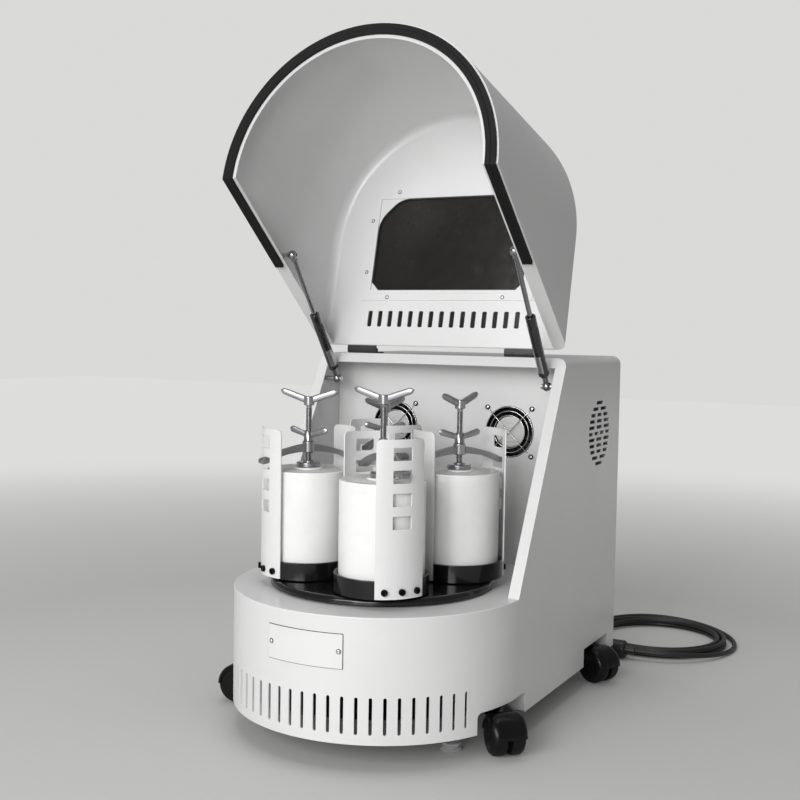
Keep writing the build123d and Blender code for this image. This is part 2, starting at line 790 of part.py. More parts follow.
def make_fan_rotor(name, side):
    x = side * fan_x
    y0 = bulkhead_y + 3.0
    y1 = y0 + fan_depth - 7.5
    hub = bar_y(0, y0, y1, 0, fan_hub_radius)
    hub = fillet(hub.edges().group_by(Axis.Y)[0], 2)
    hub += bar_y(0, y1 - 1, y1 + 3.5, 0, 3.5)
    blade_root = fan_hub_radius - 1
    blade_tip = fan_opening_radius - 2.5
    middle_y = (y0 + y1) / 2
    for number in range(fan_blades):
        length = blade_tip - blade_root
        blade = Pos(blade_root + length / 2, 0, 0) * Rot(32, 0, 0) * Box(length, 16, 1.4)
        hub += Pos(0, middle_y + 1, 0) * Rot(0, number * 360 / fan_blades, 0) * blade
    write(name, Pos(x, 0, fan_z) * hub)


# ---- Lid, closed, then swung to its rest ---------------------------------


def swung(shape):
    """The lid's pieces at rest, swung open about the hinge line."""
    return Pos(0, hinge_y, hinge_z) * Rot(-lid_open_angle, 0, 0) * Pos(0, -hinge_y, -hinge_z) * shape


def swung_point(y, z):
    """Where a point of the closed lid lies with the lid open."""
    turn = radians(lid_open_angle)
    dy = y - hinge_y
    dz = z - hinge_z
    return hinge_y + dy * cos(turn) + dz * sin(turn), hinge_z - dy * sin(turn) + dz * cos(turn)


lid_low = deck_top + gasket_gap + gasket_thick
lid_offset = gasket_gap + gasket_thick


def lid_prism(inset, top, round_over):
    """The lid's outline as a prism with a rounded top edge, inset from the outside."""
    radius = body_radius - inset
    prism = half_round(radius, lid_back_y + (0 if inset == 0 else far), lid_low - 50, top)
    edges = prism.edges().group_by(Axis.Z)[-1].filter_by(lambda e: e.center().Y < lid_back_y - 1)
    edges = edges.filter_by(lambda e: abs((e @ 0).Y - (e @ 1).Y) > 1 or abs((e @ 0.5).Y) > 1)
    return fillet(edges, round_over)


def pane_face(grow):
    """The window's outline, with its corners cut across, grown all round."""
    half = window_half + grow
    low = window_y[0] - grow
    high = window_y[1] + grow
    front_cut = window_front_cut + 0.4 * grow
    back_cut = window_back_cut + 0.4 * grow
    points = [
        (-half, low + front_cut),
        (-half + front_cut, low),
        (half - front_cut, low),
        (half, low + front_cut),
        (half, high - back_cut),
        (half - back_cut, high),
        (-half + back_cut, high),
        (-half, high - back_cut),
    ]
    face = make_face(Polyline(*points, close=True))
    front = [v for v in face.vertices() if v.Y < low + front_cut + 1]
    return fillet(front, window_front_round)


def lid_slots():
    """A row of short slots behind the window."""
    cutters = []
    shape = RectangleRounded(lid_slot_width, lid_slot_y[1] - lid_slot_y[0], lid_slot_round)
    for number in range(lid_slot_count):
        x = (number - (lid_slot_count - 1) / 2) * lid_slot_pitch
        blade = extrude(shape, 4 * sheet, both=True)
        cutters.append(Pos(x, sum(lid_slot_y) / 2, housing_top) * blade)
    return cutters


def frame_screw_places():
    """X and Y of the screws round the window."""
    side_x = window_half + frame_screw_inset
    front_y = window_y[0] - frame_screw_inset
    back_y = window_y[1] + frame_screw_inset
    at_sides = [(side * side_x, y) for side in (-1, 1) for y in frame_side_screw_y]
    at_ends = [(side * frame_end_screw_x, y) for side in (-1, 1) for y in (front_y, back_y)]
    return at_sides + at_ends


def make_lid_shell():
    outer = lid_prism(0, housing_top, lid_top_round)
    hollow = lid_prism(sheet, housing_top - sheet, lid_top_round - sheet)
    wall = outer - hollow
    inset = half_round(body_radius - lid_lip_width, far, lid_low - 60, housing_top)
    ring = outer - inset
    flat_lip = ring & block(-far, far, -far, far, lid_low, lid_low + lid_lip_thick)
    slant_lip = ring & flange_slab(lid_offset, lid_offset + lid_lip_thick)
    cutter_below = block(-far, far, -far, far, 0, lid_low)
    shell = (wall + flat_lip + slant_lip - cutter_below) & above_flange(lid_offset)
    shell = shell.solids().sort_by(SortBy.VOLUME)[-1]
    shell -= Pos(0, 0, housing_top - 3 * sheet) * extrude(pane_face(0), 6 * sheet)
    shell -= lid_slots()
    for x, y in frame_screw_places():
        shell -= post(x, y, housing_top - 2 * sheet, housing_top + sheet, frame_screw_radius / 2 + 0.1)
    write("lid_shell", swung(shell))


def make_lid_gasket():
    outer = half_round(body_radius - gasket_inset, far, deck_top - 50, gasket_top)
    inner = half_round(body_radius - gasket_inset - gasket_width, far, deck_top - 60, gasket_top + 10)
    ring = outer - inner
    flat = ring & block(-far, far, -far, far, deck_top + gasket_gap, lid_low - 0.05)
    slant = ring & flange_slab(gasket_gap, lid_offset - 0.05)
    band = (flat + slant) & above_flange(gasket_gap)
    band &= block(-far, far, -far, far, deck_top + gasket_gap, gasket_top)
    write("lid_gasket", swung(band))


def make_window():
    low = housing_top + 0.1
    pane = Pos(0, 0, low) * extrude(pane_face(pane_lap), pane_thick)
    cover = block(-slot_cover_half, slot_cover_half, *slot_cover_y, low, low + slot_cover_thick)
    write("window_pane", [swung(pane), swung(cover)])
    under = housing_top - sheet - 0.1
    wide = window_half + frame_border
    near = window_y[0] - frame_border
    outer = block(-wide, wide, near, window_y[1] + frame_border, under - frame_thick, under)
    frame = outer - block(-window_half, window_half, window_y[0], window_y[1], 0, far)
    pieces = []
    for x, y in frame_screw_places():
        frame -= post(x, y, under - 9, under + 9, frame_screw_radius / 2 + 0.1)
        head = post(x, y, under - frame_thick - 1.8, under - frame_thick - 0.05, frame_screw_radius)
        shank = post(x, y, under - frame_thick - 1, housing_top - 0.3, frame_screw_radius / 2)
        pieces.append(swung(head + shank))
    write("window_frame", [swung(frame)] + pieces)


def hinge_leaf(side, direction):
    """One hinge leaf lying on the top, reaching in front of or behind the pin."""
    x0 = side * hinge_x - hinge_width / 2
    x1 = side * hinge_x + hinge_width / 2
    low = housing_top + 0.05
    near = hinge_y
    away = hinge_y + direction * hinge_leaf_reach
    leaf = block(x0, x1, min(near, away), max(near, away), low, low + hinge_leaf_thick)
    return leaf


def hinge_knuckles(side, which):
    """The knuckle segments of one leaf: the outer two, or the middle one."""
    x0 = side * hinge_x - hinge_width / 2
    third = hinge_width / 3
    spans = [(0, 1), (2, 3)] if which == "body" else [(1, 2)]
    return [(x0 + a * third + 0.15, x0 + b * third - 0.15) for a, b in spans]


def make_hinges():
    body_pieces = []
    lid_pieces = []
    for side in (-1, 1):
        for which, direction, pieces in (("body", 1, body_pieces), ("lid", -1, lid_pieces)):
            other = "lid" if which == "body" else "body"
            leaf = hinge_leaf(side, direction)
            for a, b in hinge_knuckles(side, other):
                leaf -= bar_x(a - 0.3, b + 0.3, hinge_y, hinge_z, hinge_knuckle_radius + 0.4)
            for a, b in hinge_knuckles(side, which):
                leaf += bar_x(a, b, hinge_y, hinge_z, hinge_knuckle_radius)
            radius = hinge_pin_radius if which == "body" else hinge_pin_radius + 0.2
            near = side * hinge_x - hinge_width / 2
            pin = bar_x(near, near + hinge_width, hinge_y, hinge_z, radius)
            leaf = leaf + pin if which == "body" else leaf - pin
            pieces.append(leaf if which == "body" else swung(leaf))
    for side in (-1, 1):
        body_pieces.append(stud(side, strut_body_place, -strut_ball_radius - 1, 0.05))
        lid_pieces.append(swung(stud(side, strut_lid_place, strut_ball_radius + running_gap, 0.05)))
    write("housing_hinges_and_studs", body_pieces)
    write("lid_hinges_and_studs", lid_pieces)


# ---- Gas struts -----------------------------------------------------------

strut_top = swung_point(*strut_lid_place)
strut_vector = (strut_top[0] - strut_body_place[0], strut_top[1] - strut_body_place[1])
strut_length = hypot(*strut_vector)
strut_tilt = degrees(atan2(-strut_vector[0], strut_vector[1]))


def along_strut(side, shape):
    """Stand a shape made along +Z at the strut's lower pivot."""
    return Pos(side * strut_x, *strut_body_place) * Rot(strut_tilt, 0, 0) * shape


def stud(side, place, start, wall_gap):
    """A pin from its start, counted from the strut's middle, to its round plate on the side wall."""
    wall = body_radius - sheet
    x_near = side * (strut_x + start)
    pin = bar_x(x_near, side * (wall - wall_gap), *place, strut_pin_radius)
    plate_inner = side * (wall - wall_gap - stud_plate_thick)
    plate = bar_x(plate_inner, side * (wall - wall_gap), *place, stud_plate_radius)
    return pin + plate


def make_struts():
    for side, name in ((-1, "left"), (1, "right")):
        eye_bore = Rot(0, 90, 0) * Cylinder(strut_pin_radius + running_gap, 60)
        eye = Sphere(strut_ball_radius) - eye_bore
        neck = post(0, 0, strut_ball_radius - 2, strut_sleeve[0] + 1, strut_neck_radius)
        sleeve = post(0, 0, strut_sleeve[0], strut_sleeve[1], strut_cylinder_radius + 0.4)
        barrel = post(0, 0, strut_sleeve[1] - 1, strut_cylinder_reach, strut_cylinder_radius)
        barrel = fillet(barrel.edges().group_by(Axis.Z)[-1], 1.5)
        cylinder = eye + neck + sleeve + barrel
        cylinder -= post(0, 0, strut_bore_start, strut_cylinder_reach + 5, strut_rod_radius + running_gap)
        write(f"strut_cylinder_{name}", along_strut(side, cylinder))
        ball = Pos(0, 0, strut_length) * Sphere(strut_ball_radius)
        neck_end = strut_length - strut_ball_radius + 2
        rod = post(0, 0, strut_length - strut_rod_reach, neck_end, strut_rod_radius)
        socket = post(0, 0, strut_length - 22, neck_end, strut_neck_radius + 1)
        write(f"strut_rod_{name}", along_strut(side, ball + rod + socket))


# ---- Casters --------------------------------------------------------------


def make_casters():
    spots = {
        "front_right": (caster_x, caster_front_y),
        "front_left": (-caster_x, caster_front_y),
        "rear_right": (caster_x, caster_rear_y),
        "rear_left": (-caster_x, caster_rear_y),
    }
    half_gap = caster_wheel_gap / 2
    width = caster_wheel_width
    for name, (x, y) in spots.items():
        place = Pos(x, y, 0) * Rot(0, 0, caster_directions[name])
        axle_place = Pos(caster_offset, 0, caster_wheel_z)
        sides = []
        for side in (-1, 1):
            wheel = Rot(90, 0, 0) * Cylinder(caster_wheel_radius, width)
            outer_rim = wheel.edges().filter_by(GeomType.CIRCLE).sort_by(Axis.Y)
            wheel = fillet(outer_rim[-1] if side > 0 else outer_rim[0], 7)
            sides.append(axle_place * Pos(0, side * (half_gap + width / 2), 0) * wheel)
        axle = axle_place * Rot(90, 0, 0) * Cylinder(caster_axle_radius, 2 * half_gap + 2)
        write(f"caster_wheels_{name}", place * (sides[0] + sides[1] + axle))
        spine = axle_place * Rot(90, 0, 0) * Cylinder(caster_wheel_radius * 0.55, caster_wheel_gap - 2)
        spine -= axle_place * Rot(90, 0, 0) * Cylinder(caster_axle_radius + running_gap, 60)
        hood_width = 2 * (half_gap + width) + 2
        shell = axle_place * Rot(90, 0, 0) * Cylinder(caster_hood_radius, hood_width)
        shell = fillet(shell.edges().filter_by(GeomType.CIRCLE), 6)
        inner = axle_place * Rot(90, 0, 0) * Cylinder(caster_hood_radius - caster_hood_thick, far)
        keep = block(-far, far, -far, far, caster_wheel_z + 1, far)
        shell = (shell - inner) & keep
        web_half = caster_wheel_gap / 2 - 1
        web_high = caster_wheel_z + caster_hood_radius - 1
        web = block(-caster_stem_radius - 3, caster_offset, -web_half, web_half, caster_wheel_z, web_high)
        web -= axle_place * Rot(90, 0, 0) * Cylinder(caster_axle_radius + running_gap, 60)
        collar_low = caster_wheel_z + caster_wheel_radius * 0.3
        collar = post(0, 0, collar_low, base_z - fit_gap, caster_stem_radius + 3.5)
        wheel_space = axle_place * Rot(90, 0, 0) * Cylinder(caster_wheel_radius + 1, far)
        wheel_space -= block(-far, far, -half_gap + 0.5, half_gap - 0.5, -far, far)
        collar -= wheel_space
        stem = post(0, 0, base_z - 2, base_z + base_thick + 8, caster_stem_radius)
        write(f"caster_hood_{name}", place * (shell + spine + web + collar + stem))


# ---- Mains cable -----------------------------------------------------------

cable_radius = cable_diameter / 2


def round_tube(path):
    """Sweep the cable's round section along a path."""
    start = path.position_at(0)
    section = Plane(origin=start, z_dir=path.tangent_at(0)) * Circle(cable_radius)
    return sweep(section, path)


def make_cable_gland():
    wall = body_back
    nut = bar_y(cable_exit_x, wall + 0.1, wall + 6, cable_exit_z, gland_radius + 3)
    nose = bar_y(cable_exit_x, wall + 5, wall + gland_reach, cable_exit_z, gland_radius - 1)
    thread = bar_y(cable_exit_x, wall - 12, wall + 1, cable_exit_z, gland_radius - 3.3)
    bore = bar_y(cable_exit_x, wall - 20, wall + gland_reach + 5, cable_exit_z, cable_radius + 0.05)
    write("cable_gland", nut + nose + thread - bore)


coil_turns = 2 * coil_turns_in + coil_loose_turns
coil_end_z = plug_radius + 0.2


def eased(value, start, end):
    """A smooth step from 0 to 1 as the value goes from start to end."""
    share = min(max((value - start) / (end - start), 0), 1)
    return (1 - cos(pi * share)) / 2


def coil_point(turn):
    """Centre-line point at a turn count: spiral in, climb, spiral out, then one loose outer turn."""
    angle = radians(coil_start_angle - 360 * turn)
    full = 2 * coil_turns_in
    into = min(turn, coil_turns_in)
    back = min(max(turn - coil_turns_in, 0), coil_turns_in)
    radius = coil_outer_radius - coil_pitch * into + coil_pitch * back
    radius += (coil_loose_radius - coil_outer_radius) * eased(turn, full, full + 0.25)
    radius += (coil_end_radius - coil_loose_radius) * eased(turn, coil_turns - 0.3, coil_turns)
    rise = coil_layer_rise * eased(turn, coil_turns_in - 0.25, coil_turns_in + 0.25)
    rise -= coil_layer_rise * eased(turn, full + 0.15, full + 0.45)
    rise += (coil_end_z - cable_radius) * eased(turn, coil_turns - 0.27, coil_turns)
    x = coil_centre[0] + radius * cos(angle)
    y = coil_centre[1] + radius * sin(angle)
    return Vector(x, y, cable_radius + rise)


def coil_tangent(turn):
    """Direction of the centre line at a turn count."""
    step = 1e-4
    return (coil_point(min(turn + step, coil_turns)) - coil_point(max(turn - step, 0))).normalized()


def biarc(start, start_dir, end, end_dir):
    """Two arcs that meet smoothly between two points with given directions."""
    chord = end - start
    a = 2 * (1 - start_dir.dot(end_dir))
    b = 2 * chord.dot(start_dir + end_dir)
    c = chord.dot(chord)
    reach = c / b if a < 1e-9 else (sqrt(b * b + 4 * a * c) - b) / (2 * a)
    knee_in = start + start_dir * reach
    knee_out = end - end_dir * reach
    joint = (knee_in + knee_out) * 0.5
    first = Edge.make_tangent_arc(start, start_dir, joint)
    second = Edge.make_tangent_arc(joint, (knee_out - knee_in).normalized(), end)
    return [first, second]


def make_coil():
    quarters = round(4 * coil_turns)
    edges = []
    for number in range(quarters):
        a = number / 4
        b = (number + 1) / 4
        edges += biarc(coil_point(a), coil_tangent(a), coil_point(b), coil_tangent(b))
    path = Wire(edges)
    per_turn = 60
    points = [coil_point(number / per_turn) for number in range(round(per_turn * coil_turns) + 1)]
    apart = per_turn // 2
    gaps = [(one - other).length for i, one in enumerate(points) for other in points[i + apart :]]
    print("coil length", round(path.length), "least gap to itself", round(min(gaps) - cable_diameter, 2))
    tube_body = round_tube(path)
    print("coil volume ratio", round(tube_body.volume / (pi * cable_radius**2 * path.length), 4))
    write("mains_cable_coil", tube_body)


def routed_tube(name, points):
    """A tube along straight runs joined by arcs as large as the runs allow."""
    corners = [Vector(*point) for point in points]
    radii = []
    for before, here, after in zip(corners, corners[1:], corners[2:]):
        turn = (here - before).get_angle(after - here)
        run = min((here - before).length, (after - here).length)
        radii.append(0.45 * run / tan(radians(turn) / 2))
    path = FilletPolyline(*corners, radius=radii)
    print(name, "length", round(path.length), "radii", [round(radius) for radius in radii])
    tube_body = round_tube(path)
    print(name, "volume ratio", round(tube_body.volume / (pi * cable_radius**2 * path.length), 4))
    return tube_body


def make_cable_run():
    entry = coil_point(0)
    lead_in = entry - coil_tangent(0) * cable_lead_in
    start = (cable_exit_x, body_back + 2.0, cable_exit_z)
    points = [start] + cable_points + [tuple(lead_in), tuple(entry)]
    write("mains_cable_run", routed_tube("mains_cable_run", points))


def make_plug():
    """A plain two-pin plug that lies on the floor at the coil's end."""
    tip = coil_point(coil_turns)
    along = coil_tangent(coil_turns)
    flat = Vector(along.X, along.Y, 0).normalized()
    where = Plane(origin=tip, z_dir=tuple(flat), x_dir=(-flat.Y, flat.X, 0))
    relief = Pos(0, 0, 9) * Cone(cable_radius + 1.5, cable_radius + 5, 18)
    body = Pos(0, 0, 18 + plug_length / 2) * Cylinder(plug_radius, plug_length)
    body = fillet(body.edges(), 4)
    pins = [Pos(px, 0, 18 + plug_length + 8) * Cylinder(2.4, 18) for px in (-9.5, 9.5)]
    write("mains_plug", where * (relief + body + pins))


def main():
    make_drum_shell()
    make_blank_plate()
    make_deck_plate()
    make_rear_housing()
    make_fan_bulkhead()
    make_base_plate()
    make_levelling_feet()
    make_bearing_housing()
    make_sun_gear()
    make_main_shaft()
    make_motor_pulley()
    make_drive_belt()
    make_drive_motor()
    make_turntable_disc()
    make_stations()
    make_fan_frames()
    make_fan_guards()
    make_fan_rotor("fan_rotor_left", -1)
    make_fan_rotor("fan_rotor_right", 1)
    make_lid_shell()
    make_lid_gasket()
    make_window()
    make_hinges()
    make_struts()
    make_casters()
    make_cable_gland()
    make_coil()
    make_cable_run()
    make_plug()
    print("nodes", len(solids_written), "strut length", round(strut_length, 2), "tilt", round(strut_tilt, 3))


main()
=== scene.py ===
from math import asin, atan2, ceil, cos, degrees, hypot, pi, radians, sin, sqrt, tan
import bmesh
import bpy
from mathutils import Matrix, Quaternion, Vector

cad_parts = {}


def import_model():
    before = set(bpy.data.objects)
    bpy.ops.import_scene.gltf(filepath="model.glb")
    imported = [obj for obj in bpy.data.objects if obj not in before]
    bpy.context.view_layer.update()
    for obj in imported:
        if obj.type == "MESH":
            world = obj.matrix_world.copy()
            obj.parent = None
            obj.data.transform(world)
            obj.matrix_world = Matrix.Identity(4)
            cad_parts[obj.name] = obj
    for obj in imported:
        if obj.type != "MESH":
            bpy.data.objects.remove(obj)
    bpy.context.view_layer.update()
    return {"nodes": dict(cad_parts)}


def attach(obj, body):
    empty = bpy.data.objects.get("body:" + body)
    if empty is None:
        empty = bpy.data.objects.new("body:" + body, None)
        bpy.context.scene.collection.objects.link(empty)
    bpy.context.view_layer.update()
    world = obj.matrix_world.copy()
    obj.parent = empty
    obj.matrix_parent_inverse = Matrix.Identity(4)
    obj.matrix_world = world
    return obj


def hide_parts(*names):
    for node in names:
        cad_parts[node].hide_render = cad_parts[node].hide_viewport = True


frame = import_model()
nodes = frame["nodes"]
scene = bpy.context.scene
mm = 0.001
scene.view_settings.view_transform = "Standard"

# ---------------------------------------------------------------- materials


class Nodes:
    """A small helper that builds one procedural material."""

    def __init__(self, name):
        self.material = bpy.data.materials.new(name)
        self.material.use_nodes = True
        self.tree = self.material.node_tree
        self.shader = self.tree.nodes["Principled BSDF"]
        self.place = self.add("ShaderNodeTexCoord").outputs["Object"]

    def add(self, kind, **values):
        node = self.tree.nodes.new(kind)
        for key, value in values.items():
            setattr(node, key, value)
        return node

    def link(self, a, b):
        self.tree.links.new(a, b)

    def stretched(self, scale):
        node = self.add("ShaderNodeMapping")
        node.inputs["Scale"].default_value = scale
        self.link(self.place, node.inputs["Vector"])
        return node.outputs["Vector"]

    def noise(self, scale, detail=3.0, rough=0.55, stretch=None):
        node = self.add("ShaderNodeTexNoise")
        node.inputs["Scale"].default_value = scale
        node.inputs["Detail"].default_value = detail
        node.inputs["Roughness"].default_value = rough
        self.link(self.stretched(stretch) if stretch else self.place, node.inputs["Vector"])
        return node.outputs["Fac"]

    def ramp(self, factor, stops):
        node = self.add("ShaderNodeValToRGB")
        band = node.color_ramp
        while len(band.elements) < len(stops):
            band.elements.new(0.5)
        for element, (position, colour) in zip(band.elements, stops):
            element.position = position
            if isinstance(colour, (int, float)):
                colour = (colour, colour, colour)
            element.color = (*colour, 1.0)
        self.link(factor, node.inputs["Fac"])
        return node.outputs["Color"]

    def math(self, kind, a, b=None, c=None):
        node = self.add("ShaderNodeMath", operation=kind)
        for socket, value in zip(node.inputs, (a, b, c)):
            if value is None:
                continue
            if isinstance(value, (int, float)):
                socket.default_value = value
            else:
                self.link(value, socket)
        return node.outputs["Value"]

    def mix(self, factor, one, two):
        node = self.add("ShaderNodeMix", data_type="RGBA")
        for socket, value in ((node.inputs[0], factor), (node.inputs[6], one), (node.inputs[7], two)):
            if isinstance(value, (int, float)):
                socket.default_value = value
            elif isinstance(value, tuple):
                socket.default_value = (*value, 1.0)
            else:
                self.link(value, socket)
        return node.outputs[2]

    def colour(self, socket):
        self.link(socket, self.shader.inputs["Base Color"])

    def roughness(self, socket):
        self.link(socket, self.shader.inputs["Roughness"])

    def bump(self, height, strength, distance):
        node = self.add("ShaderNodeBump")
        node.inputs["Strength"].default_value = strength
        node.inputs["Distance"].default_value = distance
        self.link(height, node.inputs["Height"])
        before = self.shader.inputs["Normal"].links
        if before:
            self.link(before[0].from_socket, node.inputs["Normal"])
        self.link(node.outputs["Normal"], self.shader.inputs["Normal"])

    def fixed(self, **values):
        for key, value in values.items():
            self.shader.inputs[key.replace("_", " ")].default_value = value

    def height(self):
        node = self.add("ShaderNodeSeparateXYZ")
        self.link(self.place, node.inputs[0])
        return node.outputs


def scaled(colour, k):
    return tuple(min(1.0, one * k) for one in colour)


def painted(name, colour, rough=0.36, peel=0.25, grime=0.05, coat=0.25):
    """Powder coat: orange-peel skin, faint clouding, light handling marks."""
    m = Nodes(name)
    cloud = m.noise(5.0, 4.0)
    marks = m.noise(38.0, 6.0, 0.7)
    base = m.ramp(cloud, [(0.3, scaled(colour, 0.965)), (0.7, scaled(colour, 1.015))])
    if grime:
        base = m.mix(m.ramp(marks, [(0.60, 0.0), (0.86, grime)]), base, scaled(colour, 0.55))
    m.colour(base)
    m.roughness(m.ramp(m.noise(9.0, 3.0), [(0.3, rough - 0.02), (0.75, rough + 0.03)]))
    m.bump(m.noise(520.0, 2.0), peel, 0.00012)
    m.fixed(Coat_Weight=coat, Coat_Roughness=0.22, IOR=1.5)
    return m.material


def glossy(name, colour, rough=0.14, coat=0.6, peel=0.08):
    """Glossy enamel or lacquer with fine wiping marks and dust."""
    m = Nodes(name)
    base = m.ramp(m.noise(7.0, 4.0), [(0.3, scaled(colour, 0.9)), (0.7, scaled(colour, 1.15))])
    dust = m.ramp(m.noise(140.0, 5.0, 0.75), [(0.62, 0.0), (0.9, 0.06)])
    m.colour(m.mix(dust, base, (0.32, 0.32, 0.31)))
    wiping = m.noise(30.0, 5.0, 0.7, stretch=(1.0, 6.0, 1.0))
    m.roughness(m.ramp(wiping, [(0.35, rough - 0.04), (0.75, rough + 0.1)]))
    m.bump(m.noise(260.0, 2.0), peel, 0.0001)
    m.fixed(Coat_Weight=coat, Coat_Roughness=0.08)
    return m.material


def metal(name, colour, rough=0.22, grain=(1.0, 1.0, 60.0), depth=0.12, scale=90.0, smear=0.12):
    """Machined or polished metal: fine grain along one way, smears, tiny pits."""
    m = Nodes(name)
    lines = m.noise(scale, 4.0, 0.6, stretch=grain)
    smears = m.noise(26.0, 5.0, 0.65)
    base = m.ramp(lines, [(0.25, scaled(colour, 0.8)), (0.7, scaled(colour, 1.08))])
    m.colour(m.mix(m.ramp(smears, [(0.5, 0.0), (0.8, 0.35)]), base, scaled(colour, 0.72)))
    both = m.math("ADD", m.math("MULTIPLY", lines, 0.10), m.math("MULTIPLY", smears, smear))
    m.roughness(m.math("ADD", both, max(rough - 0.1, 0.02)))
    m.bump(lines, depth, 0.00008)
    m.fixed(Metallic=1.0)
    return m.material


def cast(name, colour, rough=0.42, metallic=0.9):
    """Cast or shot-blasted steel: pebbled skin, brighter high spots."""
    m = Nodes(name)
    fine = m.noise(650.0, 4.0, 0.6)
    cloud = m.noise(60.0, 4.0)
    base = m.ramp(fine, [(0.3, scaled(colour, 0.72)), (0.72, scaled(colour, 1.2))])
    m.colour(m.mix(m.ramp(cloud, [(0.45, 0.0), (0.8, 0.4)]), base, scaled(colour, 0.7)))
    m.roughness(m.ramp(cloud, [(0.3, rough - 0.08), (0.7, rough + 0.1)]))
    m.bump(fine, 0.35, 0.00025)
    m.fixed(Metallic=metallic)
    return m.material


def plastic(name, colour, rough=0.45, grain=420.0, depth=0.25, sss=0.0, turned=0.0):
    """Moulded plastic or rubber: fine grain, faint flow marks; turned adds lathe rings in height."""
    m = Nodes(name)
    flow = m.noise(9.0, 4.0, 0.6)
    fine = m.noise(grain, 3.0)
    base = m.ramp(flow, [(0.3, scaled(colour, 0.93)), (0.7, scaled(colour, 1.04))])
    m.colour(m.mix(m.ramp(fine, [(0.6, 0.0), (0.9, 0.12)]), base, scaled(colour, 0.75)))
    m.roughness(m.ramp(m.noise(45.0, 5.0, 0.7), [(0.3, rough - 0.07), (0.75, rough + 0.09)]))
    m.bump(fine, depth, 0.00015)
    if turned:
        wave = m.add("ShaderNodeTexWave", wave_type="BANDS", bands_direction="Z")
        wave.inputs["Scale"].default_value = 320.0
        wave.inputs["Distortion"].default_value = 0.4
        m.link(m.place, wave.inputs["Vector"])
        m.bump(wave.outputs["Fac"], turned, 0.00006)
    if sss:
        m.fixed(Subsurface_Weight=sss, Subsurface_Radius=(0.01, 0.01, 0.01), Subsurface_Scale=0.6)
    return m.material


def base_painted_shade():
    """Base plate painted black as painted shade for the dark inside of the drum seen through its slots; the wheel well
    walls below it are white.
    """
    m = Nodes("base_painted_shade_black")
    below = m.math("LESS_THAN", m.height()["Z"], 0.0695)
    cloud = m.ramp(m.noise(5.0, 4.0), [(0.3, scaled(white, 0.965)), (0.7, scaled(white, 1.015))])
    # The near-black above the wells is painted shade for the unlit inside of the drum, not the plate's own colour.
    m.colour(m.mix(below, (0.018, 0.018, 0.019), cloud))
    m.roughness(m.ramp(m.noise(9.0, 3.0), [(0.3, 0.36), (0.75, 0.5)]))
    m.bump(m.noise(520.0, 2.0), 0.25, 0.00012)
    return m.material


def dull(material, level):
    """A weaker surface reflection, for soft black rubber and plastic."""
    material.node_tree.nodes["Principled BSDF"].inputs["Specular IOR Level"].default_value = level
    return material


def hinges_and_studs():
    """Black hinge leaves in the middle; bright zinc on the strut studs at the two sides."""
    m = Nodes("hinge_black")
    across = m.math("ABSOLUTE", m.height()[0])
    stud = m.math("GREATER_THAN", across, 0.185)
    grain = m.ramp(m.noise(300.0, 3.0), [(0.3, (0.016, 0.016, 0.017)), (0.7, (0.024, 0.024, 0.025))])
    m.colour(m.mix(stud, grain, (0.62, 0.62, 0.61)))
    m.link(stud, m.shader.inputs["Metallic"])
    m.roughness(m.ramp(m.noise(60.0, 3.0), [(0.3, 0.30), (0.7, 0.42)]))
    m.bump(m.noise(520.0, 2.0), 0.3, 0.00012)
    return m.material


white = (0.76, 0.762, 0.758)
m_casing = painted("casing_white", white, rough=0.34)
m_lid = painted("lid_white", (0.78, 0.782, 0.78), rough=0.30, peel=0.12, coat=0.4, grime=0.0)
m_bulk = painted("bulkhead_white", (0.74, 0.742, 0.738), rough=0.36)
m_guard = painted("guard_white", (0.80, 0.802, 0.798), rough=0.34)
m_plate = painted("plate_white", (0.79, 0.79, 0.782), rough=0.30, peel=0.08, grime=0.0)
m_deck = painted("deck_white", (0.76, 0.762, 0.758), rough=0.36)
m_galv = metal("galvanised", (0.56, 0.57, 0.58), rough=0.45, grain=(1, 1, 1), depth=0.05, scale=30.0)
m_gear = metal("gear_steel", (0.52, 0.52, 0.53), rough=0.30, grain=(1, 1, 8))
m_turntable = dull(glossy("turntable_black", (0.006, 0.006, 0.006), rough=0.16, coat=0.2), 0.3)
m_cup = dull(glossy("cup_black", (0.006, 0.006, 0.006), rough=0.17, coat=0.2), 0.3)
m_cast_black = glossy("bearing_black", (0.018, 0.018, 0.02), rough=0.3, coat=0.2)
m_jar = plastic("jar_white", (0.90, 0.90, 0.89), rough=0.34, depth=0.06, sss=0.05, turned=0.22)
m_jar_lid = plastic("jar_lid_grey", (0.66, 0.66, 0.65), rough=0.32, depth=0.06, turned=0.22)
m_clamp = cast("clamp_cast", (0.34, 0.34, 0.345), rough=0.38)
m_screw = metal("screw_steel", (0.40, 0.40, 0.41), rough=0.24, grain=(1, 1, 30))
m_wing = metal("wing_steel", (0.42, 0.42, 0.43), rough=0.38, grain=(1, 1, 1), depth=0.04, scale=50.0)
m_motor = painted("motor_blue_grey", (0.10, 0.13, 0.17), rough=0.4)
m_belt = plastic("belt_rubber", (0.02, 0.02, 0.02), rough=0.6)
m_gasket = dull(plastic("gasket_rubber", (0.007, 0.007, 0.007), rough=0.62, grain=700.0, depth=0.3), 0.22)
m_fan = dull(plastic("fan_black", (0.006, 0.006, 0.006), rough=0.42), 0.2)
m_wire = metal("wire_chrome", (0.72, 0.72, 0.73), rough=0.14)
m_hub = plastic("fan_hub_pale", (0.62, 0.62, 0.61), rough=0.5, depth=0.1)
m_strut_black = glossy("strut_black", (0.012, 0.012, 0.012), rough=0.16)
m_chrome = metal("chrome", (0.78, 0.78, 0.79), rough=0.10, grain=(1, 1, 4), depth=0.03)
m_sleeve = metal("sleeve_grey", (0.55, 0.55, 0.56), rough=0.3)
m_hinge = hinges_and_studs()
